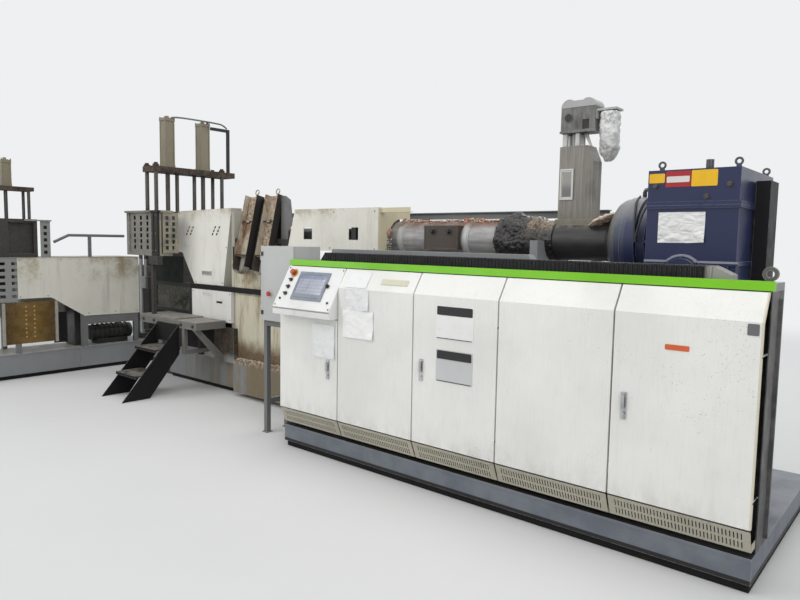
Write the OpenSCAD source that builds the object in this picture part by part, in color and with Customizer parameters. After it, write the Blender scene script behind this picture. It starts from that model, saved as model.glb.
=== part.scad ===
// Plastic extruder: a feed barrel with its gearbox behind a row of control
// cabinet doors, a melt filter head with tie bars, a work platform with stairs,
// and a second extruder arm with a smaller filter set across the far end.
// Origin: on the floor, under the barrel's axis, half way along the cabinet.
// +X runs along the barrel towards the gearbox, -Y faces the operator, +Z is up.

/* [Cabinet] */
// Width of the first and third cabinet doors
narrow_w = 645; // [560:5:700]
// Width of the second, fourth and fifth cabinet panels
wide_w = 700; // [640:5:760]
// Distance from the barrel's axis to the cabinet's front face
face_y = 1172; // [1150:1:1250]
// Distance from the barrel's axis to the cabinet's back
back_y = 790; // [700:5:820]
// Height of the lower fold of the cabinet panels
fold_low = 329; // [300:1:360]
// Height of the upper fold, where the shoulder begins
fold_high = 1308; // [1260:1:1360]
// Rise of the leaning shoulder
shoulder_rise = 134; // [110:1:160]
// Setback of the shoulder's upper edge
shoulder_set = 87; // [60:1:100]
// Height of the leaning vent band
vent_h = 120; // [100:1:140]
// Setback of the vent band's lower edge
vent_set = 50; // [30:1:60]
// Width of one upright vent slot
slot_w = 6; // [4:1:8]
// Height of one upright vent slot
slot_h = 38; // [30:1:42]
// Spacing of the vent slots
slot_pitch = 17; // [14:1:24]
// Sheet thickness of the panels and doors
sheet = 2.5; // [2:0.5:4]
// Open seam between two panels
seam = 10; // [9:0.5:14]
// Depth of the doors' folded edges
flange = 25; // [22:1:32]
// Plate thickness of the cabinet's carcass
plate = 5; // [4:1:8]
// Distance from the cabinet's face back to the carcass
carcass_set = 122; // [115:1:130]
// Thickness of the cabinet's deck
deck_t = 38; // [30:1:46]
// Height of the green fascia
fascia_h = 50; // [40:1:60]
// Height of the ribbed cable cover on the deck
tray_h = 73; // [60:1:90]
// Depth of the ribbed cable cover
tray_d = 120; // [90:5:140]
// Spacing of the cable cover's ribs
rib_pitch = 25; // [18:1:60]

/* [Door hinges and handles] */
// Radius of the hinge pins
pin_r = 3.5; // [3:0.5:4]
// Distance of a hinge axis from the door's two outer faces
pin_in = 8; // [7.5:0.5:9]
// Running clearance of the hinge sleeves
run = 0.3; // [0.2:0.05:0.4]
// Height of a door handle
handle_h = 142; // [120:2:160]
// Width of a door handle
handle_w = 30; // [24:1:36]

/* [Base] */
// Height of the base's top
base_h = 180; // [160:1:195]
// Height of the black plinth
plinth_h = 46; // [40:1:60]
// Setback of the base behind the cabinet's face
base_set = 51; // [45:1:70]
// Distance from the barrel's axis to the base's back
base_back = 400; // [380:5:440]

/* [Console] */
// Length of the sloped face
console_slope = 352; // [330:1:370]
// Lean of the sloped face from the vertical
console_lean = 29.4; // [27:0.2:32]
// Height of the console's front lip
console_lip = 55; // [45:1:65]
// Width of the display's bezel
screen_w = 330; // [300:1:350]
// Height of the display's bezel along the slope
screen_l = 233; // [210:1:250]
// Width of the bezel's rim round the display
bezel = 24; // [16:1:30]

/* [Barrel] */
// Height of the barrel's axis above the floor
axis_h = 1670; // [1650:1:1690]
// Radius of the feed barrel
barrel_r = 140; // [125:1:142]
// Radius of the barrel's core under its covers
core_r = 90; // [80:1:100]
// Radius of the grey barrel cover
cover_r = 148; // [142:1:155]
// Wall of the grey barrel cover
cover_wall = 3; // [2:1:6]
// Radius of the largest ring of the bearing housing
ring_r = 300; // [280:1:320]
// Distance from the barrel's axis to the outside of its stand
stand_y = 330; // [320:5:360]
// Side of the stand's square posts
stand_w = 80; // [70:5:100]

/* [Gearbox] */
// Length of the gearbox along the barrel
gear_l = 520; // [480:5:560]
// Depth of the gearbox
gear_w = 800; // [700:10:860]
// Height of the gearbox's top above the barrel's axis
gear_rise = 430; // [400:5:460]
// Height of the upper split line above the barrel's axis
split_rise = 218; // [200:1:240]
// Depth of the gearbox's foot below the barrel's axis
gear_drop = 490; // [470:5:510]
// Radius of the bearing cap on the gearbox's front
cap_r = 123; // [110:1:130]

/* [Feed tower] */
// Width of the feed tower along the barrel
tower_w = 258; // [240:2:270]
// Depth of the feed tower
tower_d = 140; // [120:2:160]
// Height of the tower duct's top above the barrel's axis
tower_rise = 670; // [640:5:700]
// Height of the drive head above the tower duct
head_gap = 95; // [80:5:110]
// Radius of the crammer motor
motor_r = 72; // [60:1:76]

/* [Filter heads] */
// Distance from the barrel's axis to the head's front and back
head_y = 300; // [280:5:320]
// Length of the main head's top plate across the barrel
plate_l = 1105; // [1060:5:1140]
// Height of the main head's top plate
plate_z = 2405; // [2350:5:2450]
// Thickness of the top plate
plate_t = 65; // [50:5:80]
// Diameter of a tie bar
tie_d = 45; // [38:1:50]
// Side of a square cylinder
cyl_w = 112; // [100:2:130]
// Height of the main head's cylinders
cyl_h = 575; // [520:5:620]

/* [Head covers] */
// Height of the head covers' top above the barrel's axis
head_rise = 258; // [240:2:280]
// Width of a trough
trough_w = 196; // [180:2:210]
// Length of a trough down its slope
trough_l = 813; // [780:2:840]
// Depth of a trough
trough_d = 75; // [60:1:90]
// Lean of the troughs from the vertical
trough_lean = 13; // [10:0.5:15]
// Side of the square tube frame
tube = 50; // [40:1:60]
// Sheet thickness of the machine's covers
skin = 3; // [2:0.5:4]

/* [Platform] */
// Height of the platform's top
deck_z = 775; // [740:5:800]
// Thickness of the platform
deck_h = 78; // [60:2:90]
// Distance from the barrel's axis to the platform's front edge
deck_y = 718; // [700:2:760]
// Width of the stairs
stair_w = 430; // [400:5:500]
// Run of the stairs in front of the platform
stair_run = 640; // [600:5:680]

/* [Electrical box] */
// Width of the electrical box
ebox_w = 410; // [360:5:440]
// Depth of the electrical box
ebox_d = 270; // [240:5:300]
// Height of the electrical box
ebox_h = 620; // [560:5:660]
// Height of the box's underside above the floor
ebox_z = 970; // [940:5:1000]

/* [Cross arm] */
// Distance from the cabinet's middle to the arm's front face
arm_x = 5815; // [5790:5:5900]
// Depth of the arm along the main barrel
arm_w = 500; // [440:10:560]
// Length of the arm in front of the barrel's axis
arm_l = 2300; // [2200:10:2400]
// Height of the arm's base
arm_base_h = 290; // [260:5:320]
// Height of the arm cover's top
arm_top = 1388; // [1340:2:1430]

/* [Hidden] */
$fn = 48;
// Full width of the cabinet
cab_w = 2 * narrow_w + 3 * wide_w;
// Left edge of each panel, and the right edge of the last
edges = [
  -cab_w / 2,
  -cab_w / 2 + narrow_w,
  -cab_w / 2 + narrow_w + wide_w,
  -cab_w / 2 + 2 * narrow_w + wide_w,
  -cab_w / 2 + 2 * narrow_w + 2 * wide_w,
  cab_w / 2
];
// Height of the panels' upper edge and of the vent bands' lower edge
panel_top = fold_high + shoulder_rise;
vent_z = fold_low - vent_h;
// Front plane of the carcass
carcass_y = -face_y + carcass_set;
deck_top = panel_top + deck_t;
// The console's upper and lower edges
console_back_y = -face_y + shoulder_set;
console_front_y = console_back_y - console_slope * sin(console_lean);
console_front_z = panel_top - console_slope * cos(console_lean);
door_1_top = console_front_z - console_lip - seam;
// Hinges: notch in the door, frame arm and sleeves
notch_w = 2 * pin_in + 10;
arm_t = 7;
arm_h = 8;
sleeve_h = 36;
// Stations along the barrel, from the far end to the gearbox
core_x = -4775;
cradle_x = -1680;
cover_x = -1585;
collar_x = -385;
feed_x = -110;
tower_x = 88;
ring_x = 540;
gear_x = 855;
// Heights that follow the barrel
gear_base = axis_h - gear_drop;
gear_split = axis_h + split_rise;
gear_top = axis_h + gear_rise;
tower_top = axis_h + tower_rise;
head_top = axis_h + head_rise;
filter_top = axis_h + 280;
// Stations along the head's covers
guard_l = -4565;
guard_r = -3545;
hood_l = -2535;
hood_r = -1455;
base_l = -4795;
deck_l = -4700;
deck_r = -3580;
pane_l = -5110;
pane_r = -4352;
skirt_top = axis_h - 590;
sill_top = axis_h - 540;
guard_low = axis_h - 200;
trough_rail = axis_h - 20;
// Middle of each filter along X, and of its plate along Y
filter_x = -4925;
filter_y = 20;
small_x = -arm_x - arm_w / 2;
small_y = -1794;
// The electrical box and its hinges
ebox_x = -cab_w / 2 - 20 - ebox_w;
ebox_y = -1000;
ebox_pin = [ebox_x - 8, ebox_y - 12];
ebox_hinges = [ebox_z + 85, ebox_z + 535];

module slab(x0, x1, y0, y1, z0, z1) {
  translate([x0, y0, z0]) cube([x1 - x0, y1 - y0, z1 - z0]);
}
module rod_x(x0, x1, r, y = 0, z = axis_h) {
  translate([x0, y, z]) rotate([0, 90, 0]) cylinder(h = x1 - x0, r = r);
}
module rod_y(y0, y1, r, x, z) {
  translate([x, y0, z]) rotate([-90, 0, 0]) cylinder(h = y1 - y0, r = r);
}
module rod_z(z0, z1, r, x, y) {
  translate([x, y, z0]) cylinder(h = z1 - z0, r = r);
}
// A ring or a disc turned round the barrel's axis, from an outline of [radius, x]
module turned_x(outline) {
  translate([0, 0, axis_h]) rotate([0, 90, 0]) rotate_extrude() polygon(outline);
}
// A flat outline drawn in the YZ plane and drawn out along X
module yz_prism(x0, x1, outline) {
  translate([x0, 0, 0]) rotate([90, 0, 90]) linear_extrude(x1 - x0) polygon(outline);
}
// A flat outline drawn in the XZ plane and drawn out along Y
module xz_prism(y0, y1, outline) {
  translate([0, y1, 0]) rotate([90, 0, 0]) linear_extrude(y1 - y0) polygon(outline);
}
// A lifting eye that stands on a flat top, its ring across Y
module lifting_eye(x, y, z, r = 24) {
  rod_z(z, z + r * 0.7, r * 0.6, x, y);
  translate([x, y, z + r * 1.5]) rotate([90, 0, 0]) rotate_extrude() translate([r * 0.75, 0]) circle(r = r * 0.28, $fn = 24);
}

// Section of a panel's skin, with its top at the given height
function panel_section(top, leans) = leans
  ? [
      [-face_y + shoulder_set, panel_top], [-face_y, fold_high], [-face_y, fold_low + seam / 2],
      [-face_y + sheet, fold_low + seam / 2], [-face_y + sheet, fold_high - sheet / 3],
      [-face_y + shoulder_set + sheet * 1.2, panel_top]
    ]
  : [
      [-face_y, top], [-face_y, fold_low + seam / 2],
      [-face_y + sheet, fold_low + seam / 2], [-face_y + sheet, top]
    ];

// Section of the folded edge at a panel's side
function edge_section(top, leans) = leans
  ? [
      [-face_y + shoulder_set, panel_top], [-face_y, fold_high], [-face_y, fold_low + seam / 2],
      [-face_y + flange, fold_low + seam / 2], [-face_y + flange, fold_high - flange / 3],
      [-face_y + shoulder_set + flange, panel_top]
    ]
  : [
      [-face_y, top], [-face_y, fold_low + seam / 2],
      [-face_y + flange, fold_low + seam / 2], [-face_y + flange, top]
    ];

// Inner faces of the wall at a seam, to its right and to its left
function right_of(i) = i == 0 ? edges[0] + plate : edges[i] + plate / 2;
function left_of(i) = i == 5 ? edges[5] - plate : edges[i] - plate / 2;

// One folded panel between two seams; hinges is the list of hinge heights and
// hinge_side is -1 for the left edge, 1 for the right edge and 0 for none
module folded_panel(i, top, leans, hinge_side = 0, hinges = []) {
  x0 = edges[i] + seam / 2;
  x1 = edges[i + 1] - seam / 2;
  pin_x = hinge_side < 0 ? x0 + pin_in : x1 - pin_in;
  notch_x = hinge_side < 0 ? x0 - 1 : x1 - notch_w + 1;
  difference() {
    union() {
      yz_prism(x0, x1, panel_section(top, leans));
      for (x = [x0, x1 - sheet]) yz_prism(x, x + sheet, edge_section(top, leans));
      slab(x0, x1, -face_y, -face_y + flange, fold_low + seam / 2, fold_low + seam / 2 + sheet);
      for (z = hinges)
        rod_z(z - sleeve_h - arm_h / 2 - 1, z + sleeve_h + arm_h / 2 + 1, pin_in - sheet / 2, pin_x, -face_y + pin_in);
    }
    for (z = hinges) {
      rod_z(z - sleeve_h - arm_h, z + sleeve_h + arm_h, pin_r + run, pin_x, -face_y + pin_in);
      slab(notch_x, notch_x + notch_w, -face_y + sheet, -face_y + flange + 1, z - arm_h / 2 - 1, z + arm_h / 2 + 1);
    }
  }
}

// A frame arm with its pin, at one hinge, on a block at the carcass wall
module hinge_arm(pin_x, wall_x, z) {
  slab(pin_x - arm_t / 2, pin_x + arm_t / 2, -face_y + pin_in, carcass_y + 30, z - arm_h / 2, z + arm_h / 2);
  slab(min(pin_x, wall_x), max(pin_x, wall_x), carcass_y, carcass_y + 30, z - arm_h / 2, z + arm_h / 2);
  rod_z(z - sleeve_h, z + sleeve_h, pin_r, pin_x, -face_y + pin_in);
}

door_hinges = [fold_low + 130, fold_high - 160];
short_hinges = [fold_low + 130, door_1_top - 130];
module door_1() { color("whitesmoke") folded_panel(0, door_1_top, false, -1, short_hinges); }
module door_3() { color("whitesmoke") folded_panel(2, panel_top, true, 1, door_hinges); }
module door_5() { color("whitesmoke") folded_panel(4, panel_top, true, 1, door_hinges); }

// Fixed panels sit on a bracket at each end of the carcass
module fixed_panel(i) {
  color("whitesmoke") {
    folded_panel(i, panel_top, true);
    for (z = door_hinges) {
      slab(right_of(i), edges[i] + seam / 2 + sheet, -face_y + flange - 5, carcass_y + 20, z - 30, z + 30);
      slab(edges[i + 1] - seam / 2 - sheet, left_of(i + 1), -face_y + flange - 5, carcass_y + 20, z - 30, z + 30);
    }
  }
}
module panel_2() { fixed_panel(1); }
module panel_4() { fixed_panel(3); }

module hinge_pins() {
  color("dimgray") {
    for (z = short_hinges) hinge_arm(edges[0] + seam / 2 + pin_in, right_of(0), z);
    for (i = [3, 5], z = door_hinges) hinge_arm(edges[i] - seam / 2 - pin_in, left_of(i), z);
  }
}

// Swing handle: a long plate with a folded lever and a round lock below it
module handle(x, z) {
  back = -face_y - 6;
  color("lightslategray") {
    slab(x - handle_w / 2, x + handle_w / 2, back, -face_y, z - handle_h / 2, z + handle_h / 2);
    difference() {
      slab(x - handle_w / 4, x + handle_w / 4, back - 14, back, z - handle_h * 0.1, z + handle_h * 0.42);
      slab(x - handle_w, x + handle_w, back - 8, back - 2, z - handle_h * 0.04, z + handle_h * 0.3);
    }
    rod_y(back - 8, back, handle_w * 0.3, x, z - handle_h * 0.28);
  }
}
module handle_1() { handle(edges[1] - 98, 700); }
module handle_3() { handle(edges[2] + 76, 820); }
module handle_5() { handle(edges[4] + 72, 820); }

// Leaning bands below the panels, each with two rows of upright slots
module vent_bands() {
  lean = atan2(vent_set, vent_h);
  long = sqrt(vent_set * vent_set + vent_h * vent_h);
  row_gap = 14;
  margin = 60;
  color("tan") for (i = [0 : 4]) {
    w = edges[i + 1] - edges[i] - seam;
    count = floor((w - margin) / slot_pitch);
    translate([edges[i] + seam / 2, -face_y + vent_set, vent_z]) rotate([90 + lean, 0, 0])
      translate([0, 0, -sheet]) linear_extrude(sheet) difference() {
        square([w, long - seam / 2]);
        for (k = [0 : count - 1], row = [0, 1])
          translate([w / 2 + (k - (count - 1) / 2) * slot_pitch - slot_w / 2, 16 + row * (slot_h + row_gap)])
            square([slot_w, slot_h]);
      }
    slab(right_of(i), edges[i] + seam / 2 + sheet, -face_y + vent_set + 1, carcass_y + 20, vent_z, vent_z + 40);
    slab(edges[i + 1] - seam / 2 - sheet, left_of(i + 1), -face_y + vent_set + 1, carcass_y + 20, vent_z, vent_z + 40);
  }
}

// Welded base under the cabinet and the barrel's stand, with a thin top plate
module base_frame() {
  lip = 6;
  color("slategray") {
    slab(-cab_w / 2, cab_w / 2, -face_y + base_set, base_back, plinth_h, base_h - 2 * lip);
    slab(-cab_w / 2, cab_w / 2, -face_y + base_set - lip, base_back, base_h - 2 * lip, base_h);
  }
}
// Black recessed feet under the base, the head and the arm
module plinth() {
  inset = 22;
  color("black") {
    slab(-cab_w / 2 + 10, cab_w / 2 - 10, -face_y + base_set + inset, base_back - inset, 0, plinth_h);
    slab(base_l + 15, -cab_w / 2 - 20, -head_y + inset, head_y - inset, 0, plinth_h);
    slab(-arm_x - arm_w + inset, -arm_x - inset, -arm_l + inset, base_back - inset, 0, plinth_h);
  }
}

// Carcass: back, deck, two ends and four dividers, open towards the doors
module cabinet_back() {
  color("gainsboro") slab(-cab_w / 2 + plate, cab_w / 2 - plate, -back_y - plate, -back_y, base_h, panel_top);
}
// Deck with a low trunk at its back and a lifting eye at the right end
module cabinet_deck() {
  trunk_h = 98;
  color("gray") {
    slab(-cab_w / 2, cab_w / 2, carcass_y, -back_y, panel_top, deck_top);
    xz_prism(-back_y - 70, -back_y, [
      [edges[0] + 220, deck_top], [edges[0] + 260, deck_top + trunk_h],
      [300, deck_top + trunk_h], [380, deck_top]
    ]);
    difference() {
      union() {
        slab(edges[5] - 30, edges[5] - 2, carcass_y + 10, carcass_y + 18, deck_top, deck_top + 40);
        rod_y(carcass_y + 2, carcass_y + 26, 34, edges[5] - 16, deck_top + 45);
      }
      rod_y(carcass_y, carcass_y + 30, 17, edges[5] - 16, deck_top + 45);
    }
  }
}
// End sheets, each with a folded return at the front and a middle rib
module cabinet_ends() {
  rib = 16;
  color("whitesmoke") for (s = [0, 1]) {
    x = s == 0 ? -cab_w / 2 : cab_w / 2 - plate;
    slab(x, x + plate, carcass_y, -back_y, base_h, panel_top);
    x_out = s == 0 ? x - rib : x + plate;
    slab(x_out, x_out + rib, -back_y - 110, -back_y - 90, base_h + 30, panel_top - 40);
  }
}
module cabinet_dividers() {
  color("gainsboro") for (i = [1 : 4])
    slab(edges[i] - plate / 2, edges[i] + plate / 2, carcass_y, -back_y - plate, base_h, panel_top);
}
module green_fascia() {
  over = 12;
  color("yellowgreen") yz_prism(-cab_w / 2 + over, cab_w / 2 + over, [
    [console_back_y, panel_top + 6], [console_back_y + 6, panel_top + fascia_h],
    [console_back_y + 30, panel_top + fascia_h], [carcass_y, deck_top], [carcass_y, panel_top + 6]
  ]);
}

// Operator console leaning over the first door, with a grooved lip
module console_body() {
  lip_z = console_front_z - console_lip;
  color("white") difference() {
    yz_prism(edges[0] + 16, edges[1] - seam / 2, [
      [console_back_y, panel_top], [console_front_y, console_front_z],
      [console_front_y, lip_z], [-face_y + 30, lip_z - 5], [carcass_y, lip_z - 5], [carcass_y, panel_top]
    ]);
    slab(edges[0] + 270, edges[0] + 274, console_front_y - 1, console_front_y + 4, lip_z - 1, console_front_z - 2);
    slab(edges[0] + 15, edges[1], console_front_y - 1, console_front_y + 4, console_front_z - 8, console_front_z - 5);
  }
}
// Places what is on the sloped face: x along the machine, y up the slope
module on_console() {
  translate([0, console_front_y, console_front_z]) rotate([90 - console_lean, 0, 0]) children();
}
// Bezel with a sunk display and a row of keys under it
module console_screen() {
  x = edges[0] + 183;
  chin = 22;
  color("slategray") on_console() translate([x, 72, 0]) difference() {
    cube([screen_w, screen_l, 8]);
    translate([bezel, bezel + chin, 5]) cube([screen_w - 2 * bezel, screen_l - 2 * bezel - chin, 4]);
    for (k = [0 : 11]) translate([bezel + k * 24, 12, 6]) cube([16, 10, 3]);
  }
}
// Stop button, selector knobs with their grips, and small keys
module console_buttons() {
  x = edges[0] + 104;
  color("black") on_console() {
    for (s = [115, 173, 232]) translate([x, s, 0]) {
      cylinder(h = 10, r = 15);
      translate([-11, -4, 10]) cube([22, 8, 14]);
    }
    translate([x + 7, 291, 0]) {
      cylinder(h = 4, r = 34);
      translate([0, 0, 4]) cylinder(h = 16, r = 13);
      translate([0, 0, 20]) cylinder(h = 14, r = 21);
    }
    translate([edges[0] + 528, 198, 0]) {
      cylinder(h = 10, r = 15);
      translate([-4, -11, 10]) cube([8, 22, 14]);
    }
    translate([edges[0] + 62, 71, 0]) cylinder(h = 7, r = 9);
    translate([edges[0] + 590, 68, 0]) cylinder(h = 7, r = 9);
  }
}

// Ribbed cable cover along the deck, ramped at both ends
module cable_tray() {
  x0 = -1348;
  x1 = 1428;
  top = deck_top + tray_h;
  y0 = carcass_y + 25;
  count = floor((x1 - x0) / rib_pitch);
  color("black") {
    xz_prism(y0, y0 + tray_d, [
      [x0 - 56, deck_top], [x0, top - 4], [x1, top - 4], [x1 + 79, deck_top + 30], [x1 + 79, deck_top]
    ]);
    for (k = [0 : count - 1])
      slab(x0 + (k + 0.2) * rib_pitch, x0 + (k + 0.65) * rib_pitch, y0 - 4, y0 + tray_d, deck_top + 12, top);
  }
}

// Barrel, its covers and what sits on it
module feed_barrel() {
  rim = 26;
  color("dimgray") {
    rod_x(core_x, ring_x, core_r);
    turned_x([
      [0, feed_x], [barrel_r + rim, feed_x], [barrel_r + rim, feed_x + 40], [barrel_r, feed_x + 46],
      [barrel_r, ring_x - 60], [barrel_r + 40, ring_x], [0, ring_x]
    ]);
    for (a = [15 : 30 : 345]) translate([0, 0, axis_h]) rotate([a, 0, 0])
      rod_x(feed_x + 40, feed_x + 54, 9, 0, barrel_r + rim - 12);
  }
}
// Rolled cover in three lengths with raised joint bands
module barrel_cover() {
  band_w = 60;
  color("gray") difference() {
    union() {
      rod_x(cover_x, collar_x, cover_r);
      for (x = [hood_r + 80, -700]) {
        rod_x(x, x + band_w, cover_r + 5);
        rod_x(x + 12, x + band_w - 12, cover_r + 9);
      }
      rod_x(collar_x - 24, collar_x, cover_r + 7);
    }
    rod_x(cover_x + skin, collar_x - skin, cover_r - cover_wall);
    rod_x(cover_x - 1, collar_x + 1, core_r + run);
  }
}
// Flat terminal window on the cover's front, with two connectors
module terminal_box() {
  x0 = -1050;
  x1 = -712;
  front = -cover_r - 40;
  color("saddlebrown") {
    difference() {
      slab(x0, x1, front, 0, axis_h - 85, axis_h + 110);
      rod_x(x0 - 1, x1 + 1, cover_r + run);
      slab(x0 + 12, x1 - 12, front - 1, front + 3, axis_h - 73, axis_h + 98);
    }
    for (x = [x0 + 86, x0 + 246]) {
      rod_y(front - 10, front + 3, 24, x, axis_h + 65);
      rod_y(front - 32, front - 10, 17, x, axis_h + 65);
    }
  }
}
module melt_collar() {
  color("black") difference() {
    union() {
      rod_x(collar_x, feed_x, 185);
      translate([collar_x + 130, -40, axis_h + 120]) sphere(r = 95);
      translate([collar_x + 107, -60, axis_h + 95]) sphere(r = 105);
      translate([feed_x - 115, -90, axis_h + 60]) sphere(r = 105);
      translate([collar_x + 105, -125, axis_h - 20]) sphere(r = 95);
      translate([feed_x - 130, 90, axis_h + 50]) sphere(r = 115);
    }
    rod_x(collar_x - 1, feed_x + 1, core_r + run);
  }
}
// Stepped bearing housing, a body of revolution with a ring of bolts
module bearing_housing() {
  x1 = ring_x + 60;
  x2 = ring_x + 200;
  color("steelblue") {
    turned_x([
      [0, ring_x], [ring_r - 70, ring_x], [ring_r - 30, ring_x + 30], [ring_r - 12, x1],
      [ring_r - 12, x1 + 40], [ring_r, x1 + 44], [ring_r, x2], [ring_r - 22, x2 + 8],
      [ring_r - 22, x2 + 60], [ring_r - 50, x2 + 66], [ring_r - 50, gear_x], [0, gear_x]
    ]);
    for (a = [0 : 30 : 330]) translate([0, 0, axis_h]) rotate([a, 0, 0]) rod_x(x2 + 60, x2 + 82, 13, 0, ring_r - 36);
    rod_z(axis_h + ring_r - 12, axis_h + ring_r + 34, 14, x2 - 50, 0);
  }
}

// Gear case: cast lower and upper halves with flanges and upright ribs
module gearbox_lower() {
  lip = 12;
  rib_x = [gear_x + 40, gear_x + gear_l - 60];
  color("midnightblue") {
    slab(gear_x, gear_x + gear_l, -gear_w / 2, gear_w / 2, gear_base, gear_split);
    slab(gear_x, gear_x + gear_l + lip, -gear_w / 2 - lip, gear_w / 2 + lip, axis_h - 130, axis_h - 108);
    slab(gear_x, gear_x + gear_l + lip, -gear_w / 2 - lip, gear_w / 2 + lip, gear_split - 18, gear_split);
    slab(gear_x, gear_x + gear_l + lip, -gear_w / 2 - lip, gear_w / 2 + lip, gear_base, gear_base + 24);
    for (x = rib_x) slab(x, x + 20, -gear_w / 2 - lip, gear_w / 2 + lip, gear_base + 24, axis_h - 130);
  }
}
module gearbox_upper() {
  lip = 12;
  lid_z = gear_top + 14;
  color("midnightblue") {
    slab(gear_x, gear_x + gear_l, -gear_w / 2, gear_w / 2, gear_split + 22, gear_top);
    slab(gear_x, gear_x + gear_l + lip, -gear_w / 2 - lip, gear_w / 2 + lip, gear_split, gear_split + 22);
    slab(gear_x + 120, gear_x + gear_l - 120, -gear_w / 2 + 170, gear_w / 2 - 170, gear_top, lid_z);
    for (x = [gear_x + 60, gear_x + gear_l - 30], y = [-gear_w / 2 + 60, gear_w / 2 - 60])
      lifting_eye(x, y, gear_top);
    rod_z(gear_top, gear_top + 60, 22, gear_x + 320, -gear_w / 2 + 110);
  }
}
// Bearing cap at the case's lower split, with its bolts and the cap's collar
module gearbox_cap() {
  x = gear_x + 225;
  z = axis_h - 193;
  face = -gear_w / 2;
  color("midnightblue") difference() {
    union() {
      rod_y(face - 22, face, cap_r, x, z);
      rod_y(face - 40, face - 22, cap_r - 26, x, z);
      for (a = [0 : 45 : 315])
        rod_y(face - 32, face - 22, 9, x + (cap_r - 13) * cos(a), z + (cap_r - 13) * sin(a));
    }
    slab(gear_x, gear_x + gear_l, face - 12, face, axis_h - 130, axis_h - 108);
  }
}
module belt_guard() {
  x = gear_x + gear_l + 12;
  color("darkslategray") {
    slab(x, x + 80, -100, 100, 700, gear_top - 60);
    rod_x(x, x + 80, 150, 0, 560);
  }
}
// Drive motor under the gear case, with cooling ribs, feet and a terminal box
module drive_motor() {
  x0 = gear_x - 420;
  x1 = gear_x + gear_l + 12;
  rib_r = 222;
  color("steelblue") {
    rod_x(x0, x1, 210, 0, 560);
    for (x = [x0 + 160 : 60 : x1 - 160]) rod_x(x, x + 14, rib_r, 0, 560);
    slab(gear_x - 300, gear_x + 400, -180, 180, base_h, 380);
    slab(gear_x - 60, gear_x + 160, -330, -180, 500, 640);
  }
}
// A plate with a half-round seat that the barrel lies in
module cradle(x, r) {
  difference() {
    slab(x, x + 60, -stand_y + stand_w, stand_y - stand_w, gear_base - 100, axis_h);
    rod_x(x - 1, x + 61, r + run);
  }
}
module barrel_stand() {
  rail = 100;
  posts = [cradle_x, -600, gear_x - 520, gear_x + gear_l - stand_w];
  color("slategray") {
    for (y = [-stand_y, stand_y - stand_w]) {
      slab(cradle_x, gear_x + gear_l, y, y + stand_w, gear_base - rail, gear_base);
      for (x = posts) slab(x, x + stand_w, y, y + stand_w, base_h, gear_base - rail);
    }
    cradle(cradle_x, core_r);
    cradle(feed_x + 80, barrel_r);
  }
}

// Feed tower standing on the barrel: a duct with a saddle and a sight window
module feed_tower() {
  x0 = tower_x;
  x1 = tower_x + tower_w;
  saddle = 14;
  win = [x0 + 24, x0 + 102];
  win_z = axis_h + 305;
  win_h = 195;
  color("silver") difference() {
    union() {
      xz_prism(-tower_d / 2, tower_d / 2, [
        [x0, axis_h], [x0, tower_top], [x1 - 46, tower_top], [x1, tower_top - 110], [x1, axis_h]
      ]);
      slab(x0 - saddle, x1 + saddle, -tower_d / 2 - saddle, tower_d / 2 + saddle, axis_h, axis_h + barrel_r + saddle);
      slab(win[0] - 12, win[1] + 12, -tower_d / 2 - 8, -tower_d / 2, win_z - 12, win_z + win_h + 12);
    }
    rod_x(x0 - 20, x1 + 20, barrel_r + run);
    slab(win[0], win[1], -tower_d / 2 - 9, -tower_d / 2 - 3, win_z, win_z + win_h);
  }
}
// Drive head on four pillars over the duct, with a dark hatch
module tower_head() {
  x0 = tower_x;
  x1 = tower_x + tower_w;
  z0 = tower_top + head_gap;
  z1 = z0 + 175;
  color("silver") {
    difference() {
      slab(x0, x1, -tower_d / 2, tower_d / 2, z0, z1);
      slab(x1 - 97, x1 - 43, -tower_d / 2 - 1, -tower_d / 2 + 5, z1 - 156, z1 - 88);
    }
    slab(x0 - 6, x1 + 6, -tower_d / 2 - 6, tower_d / 2 + 6, z0, z0 + 14);
    rod_y(-tower_d / 2 - 6, -tower_d / 2 + 1, 30, x0 + 58, z1 - 70);
    for (x = [x0 + 26, x0 + 120], y = [-40, 40]) rod_z(tower_top, z0 + 5, 20, x, y);
    rod_z(tower_top, z0 + 5, 16, x0 + 74, 0);
    xz_prism(-8, 8, [[x1 - 60, tower_top], [x1 - 46, tower_top], [x1 - 86, z0 + 5], [x1 - 112, z0 + 5]]);
  }
}
// Two round humps over the pulleys, and the plate that the motor hangs from
module belt_cover() {
  z = tower_top + head_gap + 175;
  hump = 58;
  color("silver") {
    difference() {
      union() {
        for (x = [tower_x + hump, tower_x + tower_w - hump]) rod_y(-tower_d / 2 - 4, tower_d / 2 + 4, hump, x, z);
        slab(tower_x + hump, tower_x + tower_w - hump, -tower_d / 2 - 4, tower_d / 2 + 4, z, z + hump - 12);
      }
      slab(tower_x - 1, tower_x + tower_w + 1, -tower_d, tower_d, z - hump - 1, z);
    }
    slab(tower_x + tower_w + 6, tower_x + tower_w + 2 * motor_r, -60, 60, z - 40, z - 26);
    slab(tower_x + tower_w, tower_x + tower_w + 6, -60, 60, z - 90, z - 26);
  }
}
module crammer_motor() {
  x = tower_x + tower_w + motor_r + 8;
  z = tower_top + head_gap + 135;
  color("gainsboro") {
    rod_z(z - 270, z, motor_r, x, 0);
    translate([x, 0, z - 350]) cylinder(h = 80, r1 = motor_r * 0.45, r2 = motor_r);
  }
}

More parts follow.
